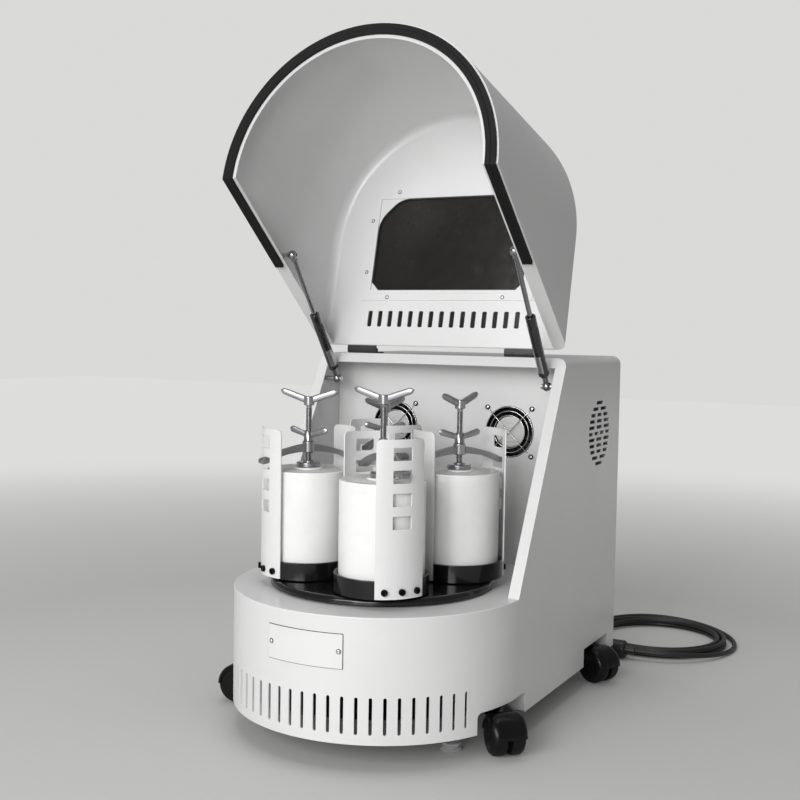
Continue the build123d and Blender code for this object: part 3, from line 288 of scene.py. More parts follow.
# Near-black for the real window seal; also painted shade in the clamp hub recesses, and painted shadow round the blank
# plate and round the screw heads on the window frame and blank plate.
m_black_and_shade = painted("black_seal_and_painted_shade", (0.012, 0.012, 0.012), rough=0.5, peel=0.3, grime=0.0)
m_base_shade = base_painted_shade()
m_strut_steel = metal("strut_steel", (0.36, 0.36, 0.37), rough=0.14, grain=(1, 1, 4), depth=0.03)
m_caster = dull(plastic("caster_black", (0.004, 0.004, 0.004), rough=0.26, depth=0.1), 0.22)
m_wheel = dull(plastic("wheel_tread", (0.006, 0.006, 0.006), rough=0.5), 0.18)
m_foot = plastic("foot_clear", (0.84, 0.86, 0.85), rough=0.16, depth=0.08)
m_foot.node_tree.nodes["Principled BSDF"].inputs["Transmission Weight"].default_value = 0.7
m_cable = plastic("cable_black", (0.012, 0.012, 0.012), rough=0.42, grain=900.0, depth=0.2)
m_plug = plastic("plug_black", (0.014, 0.014, 0.014), rough=0.4)
m_bolt = metal("bolt_black", (0.014, 0.014, 0.015), rough=0.34, depth=0.05)
m_zinc = metal("screw_zinc", (0.60, 0.60, 0.60), rough=0.26, depth=0.05)
m_brass = metal("pin_nickel", (0.62, 0.60, 0.54), rough=0.2)


def tinted_glass():
    m = Nodes("window_tint")
    smear = m.noise(14.0, 5.0, 0.65, stretch=(1.0, 0.3, 1.0))
    m.colour(m.ramp(smear, [(0.3, (0.014, 0.013, 0.011)), (0.75, (0.022, 0.020, 0.017))]))
    m.roughness(m.ramp(m.noise(50.0, 5.0, 0.7), [(0.3, 0.10), (0.8, 0.2)]))
    m.bump(m.noise(9.0, 2.0), 0.05, 0.0004)
    m.fixed(IOR=1.42, Transmission_Weight=0.10)
    return m.material


m_window = tinted_glass()

dressed = {
    "drum_shell": m_casing, "deck_plate": m_deck, "rear_housing": m_casing, "fan_bulkhead": m_bulk,
    "base_plate": m_base_shade, "blank_plate": m_plate, "levelling_feet": m_foot, "fan_frames": m_fan,
    "fan_guards": m_wire, "bearing_housing": m_cast_black, "sun_gear": m_gear, "drive_motor": m_motor,
    "housing_hinges_and_studs": m_hinge, "cable_gland": m_plug, "mains_cable_run": m_cable,
    "mains_cable_coil": m_cable, "mains_plug": m_plug, "drive_belt": m_belt, "lid_shell": m_lid,
    "lid_gasket": m_gasket, "window_pane": m_window, "window_frame": m_lid, "lid_hinges_and_studs": m_hinge,
    "turntable_disc": m_turntable, "main_shaft": m_gear, "motor_pulley": m_gear, "fan_rotor_left": m_fan,
    "fan_rotor_right": m_fan,
}
stations = ("right", "rear", "left", "front")
corners = ("front_right", "front_left", "rear_right", "rear_left")
for side in ("left", "right"):
    dressed[f"strut_cylinder_{side}"] = m_strut_black
    dressed[f"strut_rod_{side}"] = m_chrome
for name in stations:
    dressed[f"holder_{name}"] = m_cup
    dressed[f"guard_plates_{name}"] = m_guard
    dressed[f"jar_{name}"] = m_jar
    dressed[f"clamp_bridge_{name}"] = m_clamp
    dressed[f"clamp_screw_{name}"] = m_screw
for name in corners:
    dressed[f"caster_hood_{name}"] = m_caster
    dressed[f"caster_wheels_{name}"] = m_wheel
for name, material in dressed.items():
    data = nodes[name].data
    data.materials.clear()
    data.materials.append(material)

# ---------------------------------------------------------------- mesh helpers


def finished(name, mesh, material, body, smooth=40.0, place=None, bevel=0.0, level=0):
    """Links a mesh as a piece that rides on a body."""
    materials = material if isinstance(material, (list, tuple)) else [material]
    for one in materials:
        mesh.materials.append(one)
    piece = bpy.data.objects.new(name, mesh)
    scene.collection.objects.link(piece)
    if place is not None:
        mesh.transform(place)
    mesh.update()
    if smooth:
        mesh.shade_smooth()
        mesh.set_sharp_from_angle(angle=radians(smooth))
    if bevel:
        change = piece.modifiers.new("bevel", "BEVEL")
        change.width = bevel
        change.segments = 3
        change.limit_method = "ANGLE"
        change.angle_limit = radians(38)
        change.harden_normals = True
    if level:
        change = piece.modifiers.new("round", "SUBSURF")
        change.levels = change.render_levels = level
    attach(piece, body)
    return piece


def mesh_of(name, points, faces):
    mesh = bpy.data.meshes.new(name)
    mesh.from_pydata([tuple(p) for p in points], [], faces)
    return mesh


def lathe(name, profile, around=64, closed=False):
    """A profile of (radius, height) turned about Z; radius 0 closes to a point."""
    points = []
    rings = []
    for radius, height in profile:
        if radius < 1e-7:
            rings.append([len(points)])
            points.append((0.0, 0.0, height))
        else:
            rings.append(list(range(len(points), len(points) + around)))
            for k in range(around):
                a = 2 * pi * k / around
                points.append((radius * cos(a), radius * sin(a), height))
    faces = []
    pairs = list(zip(rings, rings[1:]))
    if closed:
        pairs.append((rings[-1], rings[0]))
    for low, high in pairs:
        for k in range(around):
            j = (k + 1) % around
            if len(low) == 1 and len(high) == 1:
                continue
            if len(low) == 1:
                faces.append((low[0], high[j], high[k]))
            elif len(high) == 1:
                faces.append((low[k], low[j], high[0]))
            else:
                faces.append((low[k], low[j], high[j], high[k]))
    return mesh_of(name, points, faces)


def arc(cx, cz, r, a0, a1, steps=5):
    """Points of a small rounding in a profile."""
    return [
        (cx + r * cos(radians(a0 + (a1 - a0) * i / steps)), cz + r * sin(radians(a0 + (a1 - a0) * i / steps)))
        for i in range(steps + 1)
    ]


def joined(name, meshes):
    """One mesh from several, each (mesh, place matrix, material index)."""
    whole = bmesh.new()
    for mesh, place, index in meshes:
        if place is not None:
            mesh.transform(place)
        before = len(whole.faces)
        whole.from_mesh(mesh)
        whole.faces.ensure_lookup_table()
        for face in whole.faces[before:]:
            face.material_index = index
        bpy.data.meshes.remove(mesh)
    out = bpy.data.meshes.new(name)
    whole.to_mesh(out)
    whole.free()
    return out


def swept(name, line, section, up=Vector((0, 0, 1)), cap=True, ring=False):
    """A section of (side, up) points swept along a line of points."""
    line = [Vector(p) for p in line]
    points = []
    count = len(section)
    for i, here in enumerate(line):
        if ring:
            ahead, behind = line[(i + 1) % len(line)], line[i - 1]
        else:
            ahead, behind = line[min(i + 1, len(line) - 1)], line[max(i - 1, 0)]
        along = (ahead - behind).normalized()
        side = along.cross(up)
        side = side.normalized() if side.length > 1e-6 else Vector((1, 0, 0))
        top = side.cross(along).normalized()
        for s, u in section:
            points.append(here + side * s + top * u)
    faces = []
    for i in range(len(line) if ring else len(line) - 1):
        a, b = i * count, ((i + 1) % len(line)) * count
        for k in range(count):
            j = (k + 1) % count
            faces.append((a + k, a + j, b + j, b + k))
    if cap and not ring:
        faces.append(tuple(range(count))[::-1])
        faces.append(tuple(range(len(points) - count, len(points))))
    return mesh_of(name, points, faces)


def circle(radius, count=12):
    return [(radius * cos(2 * pi * k / count), radius * sin(2 * pi * k / count)) for k in range(count)]


def move(x=0.0, y=0.0, z=0.0):
    return Matrix.Translation((x, y, z))


def spin(angle, axis):
    return Matrix.Rotation(radians(angle), 4, axis)


def hexagon(name, across, low, high, chamfer=0.0006):
    """A hex prism with chamfered top and bottom."""
    r = across / sqrt(3)
    inner = r - chamfer * 1.6
    return lathe(name, [(0, low), (inner, low), (r, low + chamfer), (r, high - chamfer), (inner, high), (0, high)], 6)


def screw_head(name, radius, height, socket=0.0):
    """A button head with a round socket recess, standing on z = 0."""
    s = socket or radius * 0.45
    profile = [(radius, 0), (radius, height * 0.45)]
    profile += arc(radius - height * 0.5, height * 0.45, height * 0.5, 0, 80, 4)
    profile += [(s * 1.12, height * 0.97), (s, height * 0.9), (s * 0.98, height * 0.4), (0, height * 0.35)]
    return lathe(name, profile, 24)


# ---------------------------------------------------------------- camera


def place_camera():
    azimuth, pitch, roll = radians(27.80), radians(3.52), radians(0.91)
    right = Vector((cos(azimuth), sin(azimuth), 0))
    ahead = Vector((-sin(azimuth) * cos(pitch), cos(azimuth) * cos(pitch), -sin(pitch)))
    up = right.cross(ahead)
    side = cos(roll) * right + sin(roll) * up
    top = -sin(roll) * right + cos(roll) * up
    data = bpy.data.cameras.new("camera")
    data.sensor_width = 36.0
    data.lens = 1164.0 / 800.0 * 36.0
    data.clip_start = 0.05
    data.clip_end = 60.0
    camera = bpy.data.objects.new("camera", data)
    turn = Matrix((side, top, -ahead)).transposed().to_4x4()
    camera.matrix_world = Matrix.Translation((0.882, -1.621, 0.627)) @ turn
    scene.collection.objects.link(camera)
    scene.camera = camera


place_camera()

# ---------------------------------------------------------------- floor, backdrop, light


def shown_white(name, colour, strength):
    """Pale to the camera and in reflections; takes the object's shadow."""
    m = Nodes(name)
    away = m.add("ShaderNodeVectorMath", operation="LENGTH")
    m.link(m.place, away.inputs[0])
    far = m.math("SMOOTH_MIN", m.math("MULTIPLY", m.math("SUBTRACT", away.outputs["Value"], 1.1), 0.42), 1.0, 0.2)
    far = m.math("MAXIMUM", far, 0.0)
    m.colour(m.mix(far, colour, (0.0, 0.0, 0.0)))
    m.fixed(Roughness=0.8)
    path = m.add("ShaderNodeLightPath")
    seen = m.math("MAXIMUM", path.outputs["Is Camera Ray"], path.outputs["Is Glossy Ray"])
    seen = m.math("MAXIMUM", seen, path.outputs["Is Transmission Ray"])
    m.fixed(Emission_Color=(0.70, 0.70, 0.69, 1))
    glow = m.math("ADD", m.math("MULTIPLY", far, 1.0 - strength), strength)
    m.link(m.math("MULTIPLY", seen, glow), m.shader.inputs["Emission Strength"])
    return m.material


floor_mesh = mesh_of("floor", [(-9, -9, 0), (9, -9, 0), (9, 9, 0), (-9, 9, 0)], [(0, 1, 2, 3)])
floor = bpy.data.objects.new("floor", floor_mesh)
floor.location.z = -0.0004
floor_mesh.materials.append(shown_white("floor_pale", (0.58, 0.58, 0.57), 0.03))
scene.collection.objects.link(floor)


def world():
    w = bpy.data.worlds.new("studio")
    scene.world = w
    w.use_nodes = True
    tree = w.node_tree
    for node in list(tree.nodes):
        tree.nodes.remove(node)
    out = tree.nodes.new("ShaderNodeOutputWorld")
    soft = tree.nodes.new("ShaderNodeBackground")
    soft.inputs["Color"].default_value = (1.0, 1.0, 1.0, 1)
    soft.inputs["Strength"].default_value = 0.27
    plain = tree.nodes.new("ShaderNodeBackground")
    plain.inputs["Color"].default_value = (0.70, 0.70, 0.69, 1)
    plain.inputs["Strength"].default_value = 1.0
    path = tree.nodes.new("ShaderNodeLightPath")
    both = tree.nodes.new("ShaderNodeMath")
    both.operation = "MAXIMUM"
    tree.links.new(path.outputs["Is Camera Ray"], both.inputs[0])
    tree.links.new(path.outputs["Is Transmission Ray"], both.inputs[1])
    mix = tree.nodes.new("ShaderNodeMixShader")
    tree.links.new(both.outputs[0], mix.inputs[0])
    tree.links.new(soft.outputs[0], mix.inputs[1])
    tree.links.new(plain.outputs[0], mix.inputs[2])
    tree.links.new(mix.outputs[0], out.inputs["Surface"])


world()


def lamp(name, place, target, size, power, height=None):
    data = bpy.data.lights.new(name, "AREA")
    data.shape = "RECTANGLE"
    data.size = size
    data.size_y = height or size
    data.energy = power
    lit = bpy.data.objects.new(name, data)
    lit.location = place
    lit.rotation_mode = "QUATERNION"
    lit.rotation_quaternion = (Vector(target) - Vector(place)).to_track_quat("-Z", "Y")
    scene.collection.objects.link(lit)


lamp("key", (-0.45, -3.8, 2.0), (0, 0.1, 0.55), 2.0, 80)
lamp("front", (0.7, -3.5, 1.1), (0, 0.2, 0.6), 1.4, 46)
lamp("top", (-0.3, 0.2, 3.2), (0, 0.2, 0.4), 2.0, 26)

# ---------------------------------------------------------------- mains cable

run_points = [
    (118, 482, 92), (118, 532, 92), (117, 574, 66), (118, 602, 33), (121, 634, 8),
]
coil_centre = (262.0, 697.0)


def eased(value, start, end):
    share = min(max((value - start) / (end - start), 0), 1)
    return (1 - cos(pi * share)) / 2


def coil_point(turn):
    """One point of the coil: spiral in, climb, spiral out, one loose outer turn."""
    into, back = min(turn, 2), min(max(turn - 2, 0), 2)
    radius = 138 - 12.5 * into + 12.5 * back
    radius += 14 * eased(turn, 4, 4.25) + 8 * eased(turn, 4.45, 4.75)
    rise = 10.2 * (eased(turn, 1.75, 2.25) - eased(turn, 4.15, 4.45))
    rise += 12.7 * eased(turn, 4.48, 4.75)
    angle = radians(180 - 360 * turn)
    return (coil_centre[0] + radius * cos(angle), coil_centre[1] + radius * sin(angle), 4.5 + rise)


def make_cable():
    route = list(run_points)
    steps = round(4.75 * 24)
    for k in range(steps + 1):
        route.append(coil_point(k * 4.75 / steps))
    curve = bpy.data.curves.new("mains_cable", "CURVE")
    curve.dimensions = "3D"
    curve.bevel_depth = 4.5 * mm
    curve.bevel_resolution = 5
    curve.resolution_u = 6
    curve.use_fill_caps = True
    line = curve.splines.new("NURBS")
    line.points.add(len(route) - 1)
    for point, (x, y, z) in zip(line.points, route):
        point.co = (x * mm, y * mm, z * mm, 1.0)
    line.order_u = 3
    line.use_endpoint_u = True
    curve.materials.append(m_cable)
    piece = bpy.data.objects.new("mains_cable", curve)
    scene.collection.objects.link(piece)
    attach(piece, "machine")
    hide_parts("mains_cable_run", "mains_cable_coil")


make_cable()

# ---------------------------------------------------------------- flat plates


def cut_plate(name, outline, holes, thick, bend=None, step=4.0):
    """A flat plate with holes, from (x, y) outlines in mm; bend wraps x round a radius about the Y axis."""
    curve = bpy.data.curves.new(name, "CURVE")
    curve.dimensions = "2D"
    curve.fill_mode = "BOTH"
    curve.extrude = thick / 2
    for loop in [outline] + holes:
        line = curve.splines.new("POLY")
        line.points.add(len(loop) - 1)
        for point, (x, y) in zip(line.points, loop):
            point.co = (x, y, 0, 1)
        line.use_cyclic_u = True
    holder = bpy.data.objects.new(name, curve)
    scene.collection.objects.link(holder)
    bpy.context.view_layer.update()
    mesh = bpy.data.meshes.new_from_object(holder)
    bpy.data.objects.remove(holder)
    bpy.data.curves.remove(curve)
    work = bmesh.new()
    work.from_mesh(mesh)
    bmesh.ops.remove_doubles(work, verts=work.verts, dist=0.001)
    if bend:
        reach = max(x for x, y in outline)
        place = ceil(-reach / step) * step
        while place < reach:
            bmesh.ops.bisect_plane(work, geom=work.verts[:] + work.edges[:] + work.faces[:],
                                   plane_co=(place, 0, 0), plane_no=(1, 0, 0))
            place += step
        for v in work.verts:
            angle = v.co.x / bend
            r = bend + v.co.z
            v.co = Vector((r * cos(angle), r * sin(angle), v.co.y))
    bmesh.ops.recalc_face_normals(work, faces=work.faces)
    work.to_mesh(mesh)
    work.free()
    return mesh


def rounded(x0, x1, y0, y1, radii, steps=6):
    """A rectangle's outline with its four corner radii: lower left, lower right, upper right, upper left."""
    loop = []
    spots = ((x0, y0, 180), (x1, y0, 270), (x1, y1, 0), (x0, y1, 90))
    for (x, y, start), r in zip(spots, radii):
        if r <= 0:
            loop.append((x, y))
            continue
        cx = x + r if start in (180, 90) else x - r
        cy = y + r if start in (180, 270) else y - r
        loop += [(cx + r * cos(radians(start + 90 * i / steps)), cy + r * sin(radians(start + 90 * i / steps)))
                 for i in range(steps + 1)]
    return loop


to_metres = Matrix.Scale(mm, 4)

# ---------------------------------------------------------------- window frame, blank plate


def round_cornered(corners, steps=8):
    """A closed outline from (x, y, radius) corners, each rounded off."""
    loop = []
    for k, (x, y, r) in enumerate(corners):
        at = Vector((x, y))
        u = (Vector(corners[k - 1][:2]) - at).normalized()
        v = (Vector(corners[(k + 1) % len(corners)][:2]) - at).normalized()
        half = u.angle(v) / 2
        centre = at + (u + v).normalized() * r / sin(half)
        one = at + u * r / tan(half) - centre
        two = at + v * r / tan(half) - centre
        sweep = one.angle_signed(two)
        for i in range(steps + 1):
            turned = Matrix.Rotation(-sweep * i / steps, 2) @ one
            loop.append(tuple(centre + turned))
    return loop


def make_window_frame():
    """Trim plate inside the lid with a raised inner bead, chrome screws on dark discs that are painted shadow round
    their heads, and a black seal round the opening.
    """
    swung = to_metres @ move(0, 194, 587) @ spin(-103, "X") @ move(0, -194, -587)
    outer = rounded(-164.5, 164.5, -102, 104, (1.5,) * 4, 3)
    hole = rounded(-146.5, 146.5, -84, 86, (1.0,) * 4, 3)
    bead = rounded(-152.5, 152.5, -90, 92, (1.0,) * 4, 3)
    parts = [
        (cut_plate("plate", outer, [hole], 2.0), move(0, 0, 578.4), 0),
        (cut_plate("bead", bead, [hole], 0.6), move(0, 0, 577.1), 0),
    ]
    spots = [(side * 159.0, y) for side in (-1, 1) for y in (-44.0, 52.0)]
    spots += [(side * 111.0, y) for side in (-1, 1) for y in (-96.5, 98.5)]
    for x, y in spots:
        # A dark disc under each screw head: painted shadow round the head.
        ring = lathe("ring", [(0, 0), (3.4, 0), (3.4, 0.5), (0, 0.5)], 24)
        parts.append((ring, move(x, y, 577.4) @ spin(180, "X"), 2))
        parts.append((screw_head("head", 2.6, 1.8, 1.0), move(x, y, 577.0) @ spin(180, "X"), 1))
    piece = finished("window_frame_trim", joined("frame", parts), [m_lid, m_chrome, m_black_and_shade], "lid", place=swung)
    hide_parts("window_frame")
    loops = []
    for inset in (0.1, 2.0):
        w, low, high = 146.5 - inset, -84 + inset, 86 - inset
        cut, back, r = 39.0 - inset * 0.59, 15.0 - inset * 0.59, 45.0 - inset
        loops.append(round_cornered([(-w, high - back, 2), (-w, low + cut, r), (-w + cut, low, r), (w - cut, low, r),
                            (w, low + cut, r), (w, high - back, 2), (w - back, high, 2), (-w + back, high, 2)]))
    seal = cut_plate("seal", loops[0], [loops[1]], 2.9)
    finished("window_seal", seal, m_black_and_shade, "lid", place=swung @ move(0, 0, 580.6))


make_window_frame()


def make_lid_gasket():
    """Black rubber strip round the lid's rim, flat under the lid and slanted at its sides, with a groove."""
    outer, inner, low, high = 232.4, 216.2, 0.5, 5.45
    run, rise = 0.4667, 0.8844
    groove = (outer + inner) / 2
    section = [(inner, low), (groove - 1.0, low), (groove, low + 0.8), (groove + 1.0, low), (outer, low),
               (outer, high), (inner, high)]
    points = []
    stops = [("top", -1), ("foot", -1)] + [("arc", a) for a in range(181, 360, 2)] + [("foot", 1), ("top", 1)]
    for kind, value in stops:
        for radius, lift in section:
            if kind == "arc":
                a = radians(value)
                points.append((radius * cos(a), radius * sin(a), 221.0 + lift))
            elif kind == "foot":
                points.append((value * radius, 2.0 - 0.603 * lift, 221.0 + lift))
            else:
                t = (177.0 - lift * run) / rise
                points.append((value * radius, 2.0 + run * t - rise * lift, 398.0))
    count = len(section)
    faces = []
    for i in range(len(stops) - 1):
        for k in range(count):
            j = (k + 1) % count
            faces.append((i * count + k, (i + 1) * count + k, (i + 1) * count + j, i * count + j))
    faces.append(tuple(range(count)))
    faces.append(tuple(range(len(points) - count, len(points)))[::-1])
    swung = to_metres @ move(0, 194, 587) @ spin(-103, "X") @ move(0, -194, -587)
    mesh = mesh_of("gasket", points, faces)
    work = bmesh.new()
    work.from_mesh(mesh)
    bmesh.ops.recalc_face_normals(work, faces=work.faces)
    work.to_mesh(mesh)
    work.free()
    piece = finished("lid_gasket_strip", mesh, m_gasket, "lid", bevel=0.5 * mm, place=swung)
    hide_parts("lid_gasket")


def make_feet():
    """Clear levelling pads with a flared rim and a collar, each on its zinc stud with a nut."""
    pad = [(0, 0), (15.6, 0), (17.0, 0.8), (17.5, 2.2), (16.8, 3.6), (13.6, 5.2), (13.0, 6.2), (15.0, 7.4),
           (15.8, 8.8), (15.6, 11.6), (14.2, 13.0), (0, 13.0)]
    stud = [(0, 12.0)] + thread(5.0, 12.5, 84.0, 1.6, 0.6) + [(4.2, 86.0), (0, 86.0)]
    parts = []
    for side in (-1, 1):
        for x, y in ((160.5, -71.3), (118.0, 445.0)):
            spot = move(side * x, y)
            parts.append((lathe("pad", pad, 48), spot, 0))
            parts.append((lathe("stud", stud, 24), spot, 1))
            parts.append((hexagon("nut", 16.4, 61.9, 69.8, 0.6), spot, 1))
    piece = finished("levelling_pads", joined("feet", parts), [m_foot, m_zinc], "machine", place=to_metres)
    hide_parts("levelling_feet")


def make_blank_plate():
    """A bare plate on the drum with a dark strip round it as a painted shadow line, and two round-headed screws, each
    ringed by a dark disc as painted shadow.
    """
    half = 236.2 * radians(15.2)
    plate = cut_plate("plate", rounded(-half, half, 146.0, 195.5, (1.0,) * 4, 3), [], 1.2, bend=235.65)
    # A dark strip just outside the plate: painted shadow along its edges.
    shadow_line = cut_plate("shadow_line", rounded(-half - 0.9, half + 0.9, 145.1, 196.4, (1.6,) * 4, 3), [], 0.4, bend=235.3)
    parts = [(plate, spin(-90, "Z"), 0), (shadow_line, spin(-90, "Z"), 2)]
    for angle in (-13.9, 13.9):
        where = spin(-90 + angle, "Z") @ move(236.2, 0, 170.75) @ spin(90, "Y")
        # A dark disc under each screw head: painted shadow round the head.
        ring = lathe("ring", [(0, 0), (3.9, 0), (3.9, 0.3), (0, 0.3)], 24)
        parts.append((ring, where, 2))
        parts.append((screw_head("head", 3.1, 2.0, 1.2), where @ move(0, 0, 0.1), 1))
    piece = finished("blank_plate_bare", joined("blank", parts), [m_plate, m_chrome, m_black_and_shade], "machine",
                     place=to_metres)
    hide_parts("blank_plate")


make_lid_gasket()
make_blank_plate()

# ---------------------------------------------------------------- turntable


def make_turntable():
    disc = [(0, 234.0), (60, 234.0), (171.0, 234.0)]
    disc += arc(170.7, 227.2, 6.8, 90, 0, 8)
    disc += [(177.5, 224.3), (176.9, 223.7), (0, 223.7)]
    parts = [(lathe("disc", disc[::-1], 160), None, 0)]
    hub = [(15.0, 200.0), (31.2, 200.0), (32.0, 200.8), (32.0, 223.8), (15.0, 223.8)]
    parts.append((lathe("hub", hub, 64, closed=True), None, 0))
    for k in range(4):
        a = radians(28 + 90 * k)
        boss = [(12.3, 200.0), (21.2, 200.0), (22.0, 200.8), (22.0, 223.8), (12.3, 223.8)]
        parts.append((lathe("boss", boss, 48, closed=True), move(120 * cos(a), 120 * sin(a)), 0))
    washer = [(0, 234.0), (15.2, 234.0), (16.0, 234.6), (16.0, 236.2), (15.2, 236.9), (0, 236.9)]
    parts.append((lathe("washer", washer, 48), None, 1))
    bolt = hexagon("bolt", 19.0, 236.9, 244.5, 0.8)
    parts.append((bolt, spin(12, "Z"), 1))
    piece = finished("turntable_top", joined("turntable_top", parts), [m_turntable, m_zinc], "turntable",
                     place=to_metres)
    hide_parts("turntable_disc")


make_turntable()

# ---------------------------------------------------------------- stations


def thread(radius, low, high, pitch=2.0, depth=0.9):
    """Profile of a threaded rod, as close ridges."""
    points = []
    z = low
    while z < high - pitch / 2:
        points += [(radius, z), (radius, z + pitch * 0.12), (radius - depth, z + pitch * 0.5),
                   (radius - depth, z + pitch * 0.62)]
        z += pitch
    points.append((radius - depth / 2, high))
    return points


def wing_mesh(name, root, reach, tilt, low_h, tip_h, thick, middle):
    """One cast wing: an oval bar that rises and swells towards its rounded tip."""
    length = reach / cos(radians(tilt))
    rings = []
    steps = 12
    for i in range(steps + 1):
        t = i / steps
        x = root + (length - root) * t
        half = (low_h + (tip_h - low_h) * t) / 2
        wide = thick / 2 * (1.08 - 0.12 * t)
        if t > 0.78:
            k = (t - 0.78) / 0.22
            shrink = sqrt(max(1 - k * k, 0.0))
            half *= max(shrink, 0.05)
            wide *= max(shrink, 0.08) ** 0.6
        rings.append((x, half, wide))
    points = []
    faces = []
    count = 16
    for x, half, wide in rings:
        for k in range(count):
            a = 2 * pi * k / count
            c, s = cos(a), sin(a)
            c = abs(c) ** 0.6 * (1 if c >= 0 else -1)
            s = abs(s) ** 0.75 * (1 if s >= 0 else -1)
            points.append((x, wide * c, half * s))
    for i in range(steps):
        for k in range(count):
            j = (k + 1) % count
            faces.append((i * count + k, i * count + j, (i + 1) * count + j, (i + 1) * count + k))
    faces.append(tuple(range(count))[::-1])
    faces.append(tuple(range(steps * count, (steps + 1) * count)))
    mesh = mesh_of(name, points, faces)
    mesh.transform(Matrix.Translation((0, 0, middle)) @ Matrix.Rotation(radians(-tilt), 4, "Y"))
    return mesh


def make_clamp(name, place, angle):
    """Pad, threaded rod, wing nut and V-shaped wing handle, with a black disc in the handle's hub as painted shade in
    its recess.
    """
    rise = handle_heights[name] - 508.0
    rod = [(0, 414.0)] + thread(5.0, 415.0, 498.0 + rise) + [(4.5, 506.0 + rise), (0, 506.0 + rise)]
    pad = [(0, 405.4), (18.2, 405.4), (19.0, 406.2), (19.0, 410.9)] + arc(17.2, 411.0, 1.8, 0, 90, 4)
    pad += [(9.6, 412.8), (9.0, 413.4), (9.0, 415.0), (8.2, 415.6), (0, 415.6)]
    hub = [(0, 501.0), (7.2, 501.0), (8.5, 502.0), (8.5, 513.4)] + arc(7.6, 514.1, 0.9, 0, 90, 3)
    hub += [(5.8, 515.0), (5.4, 514.4), (5.3, 512.2), (0, 512.2)]
    # A black disc in the hub's top recess: painted shade in the recess.
    recess_shade = [(0, 512.0), (5.2, 512.0), (5.2, 513.0), (0, 513.2)]
    nut = [(5.1, 446.4), (7.7, 446.4), (8.2, 447.0), (8.0, 449.5), (6.5, 462.6), (5.9, 463.2), (5.1, 463.2)]
    turn = spin(handle_turns[name] - angle, "Z")
    nut_turn = spin(nut_turns[name] - angle, "Z")
    parts = [
        (lathe("rod", rod, 32), None, 0),
        (lathe("pad", pad, 48), None, 0),
        (lathe("hub", hub, 40), move(0, 0, rise), 0),
        (lathe("recess_shade", recess_shade, 32), move(0, 0, rise), 1),
        (lathe("nut", nut, 40, closed=True), None, 0),
    ]
    for half in (0, 180):
        wing = wing_mesh("wing", 5.5, 47.8, 19, 11.0, 10.2, 6.9, handle_heights[name])
        parts.append((wing, turn @ spin(half, "Z"), 2))
        wing = wing_mesh("wing", 5.0, 35.3, 17, 8.4, 11.0, 5.4, 454.8)
        parts.append((wing, nut_turn @ spin(half, "Z"), 2))
    piece = finished(f"clamp_{name}_screw", joined("clamp", parts), [m_screw, m_black_and_shade, m_wing], f"clamp_{name}",
                     place=to_metres @ place)
    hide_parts(f"clamp_screw_{name}")


def make_bridge(name, place):
    """Turned boss with two flat forged arms that droop and hook into the guard windows."""
    boss = [(5.3, 428.0), (9.0, 428.0), (10.0, 429.0), (10.0, 445.0), (9.0, 446.0), (5.3, 446.0)]
    parts = [(lathe("boss", boss, 40, closed=True), None, 0)]
    upper = [(8.0, 441.5), (24.0, 438.6), (40.0, 434.8), (52.0, 431.2), (60.0, 428.3), (66.0, 425.4)]
    upper += [(70.0, 423.2), (76.0, 422.2), (80.5, 421.2), (82.4, 419.4), (83.0, 417.4)]
    lower = [(83.0, 415.0), (82.2, 413.5), (80.0, 412.8), (76.0, 412.8), (70.0, 414.3), (66.0, 416.5)]
    lower += [(60.0, 419.3), (52.0, 422.4), (40.0, 426.0), (24.0, 428.6), (8.0, 430.0)]
    outline = upper + lower
    for half in (0, 180):
        mesh = cut_plate("arm", outline, [], 13.0)
        mesh.transform(spin(90, "X"))
        parts.append((mesh, spin(half, "Z"), 1))
    whole = joined("bridge", parts)
    piece = finished(f"bridge_{name}", whole, [m_screw, m_clamp], f"station_{name}", bevel=1.3 * mm,
                     place=to_metres @ place @ spin(guard_turns[name], "Z"))
    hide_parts(f"clamp_bridge_{name}")


def make_guards(name, place):
    """Two curved plates with four windows each, held by three socket screws."""
    half = 73.05 * asin(74.05 / 73.05 * sin(radians(30.4)))
    windows = [rounded(-14.85, 14.85, z - 9.5, z + 9.5, (1.2,) * 4, 3) for z in (447.0, 414.3, 381.0, 348.0)]
    outline = rounded(-half, half, 237.0, 468.5, (0.8, 0.8, 8.0, 8.0))
    parts = []
    for turn in (guard_turns[name], guard_turns[name] + 180):
        plate = cut_plate("plate", outline, windows, 2.0, bend=73.05)
        parts.append((plate, spin(turn, "Z"), 0))
        for angle in (-20, 0, 20):
            head = [(0, 0), (4.6, 0), (5.0, 0.4), (5.0, 3.7), (4.6, 4.1), (2.9, 4.15), (2.55, 3.9)]
            head = lathe("head", head + [(2.55, 1.4), (0, 1.2)], 6 * 5)
            where = spin(turn + angle, "Z") @ move(74.05, 0, 247.5) @ spin(90, "Y")
            parts.append((head, where, 1))
    piece = finished(f"guards_{name}", joined("guards", parts), [m_guard, m_bolt], f"station_{name}",
                     bevel=0.35 * mm, place=to_metres @ place)
    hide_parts(f"guard_plates_{name}")


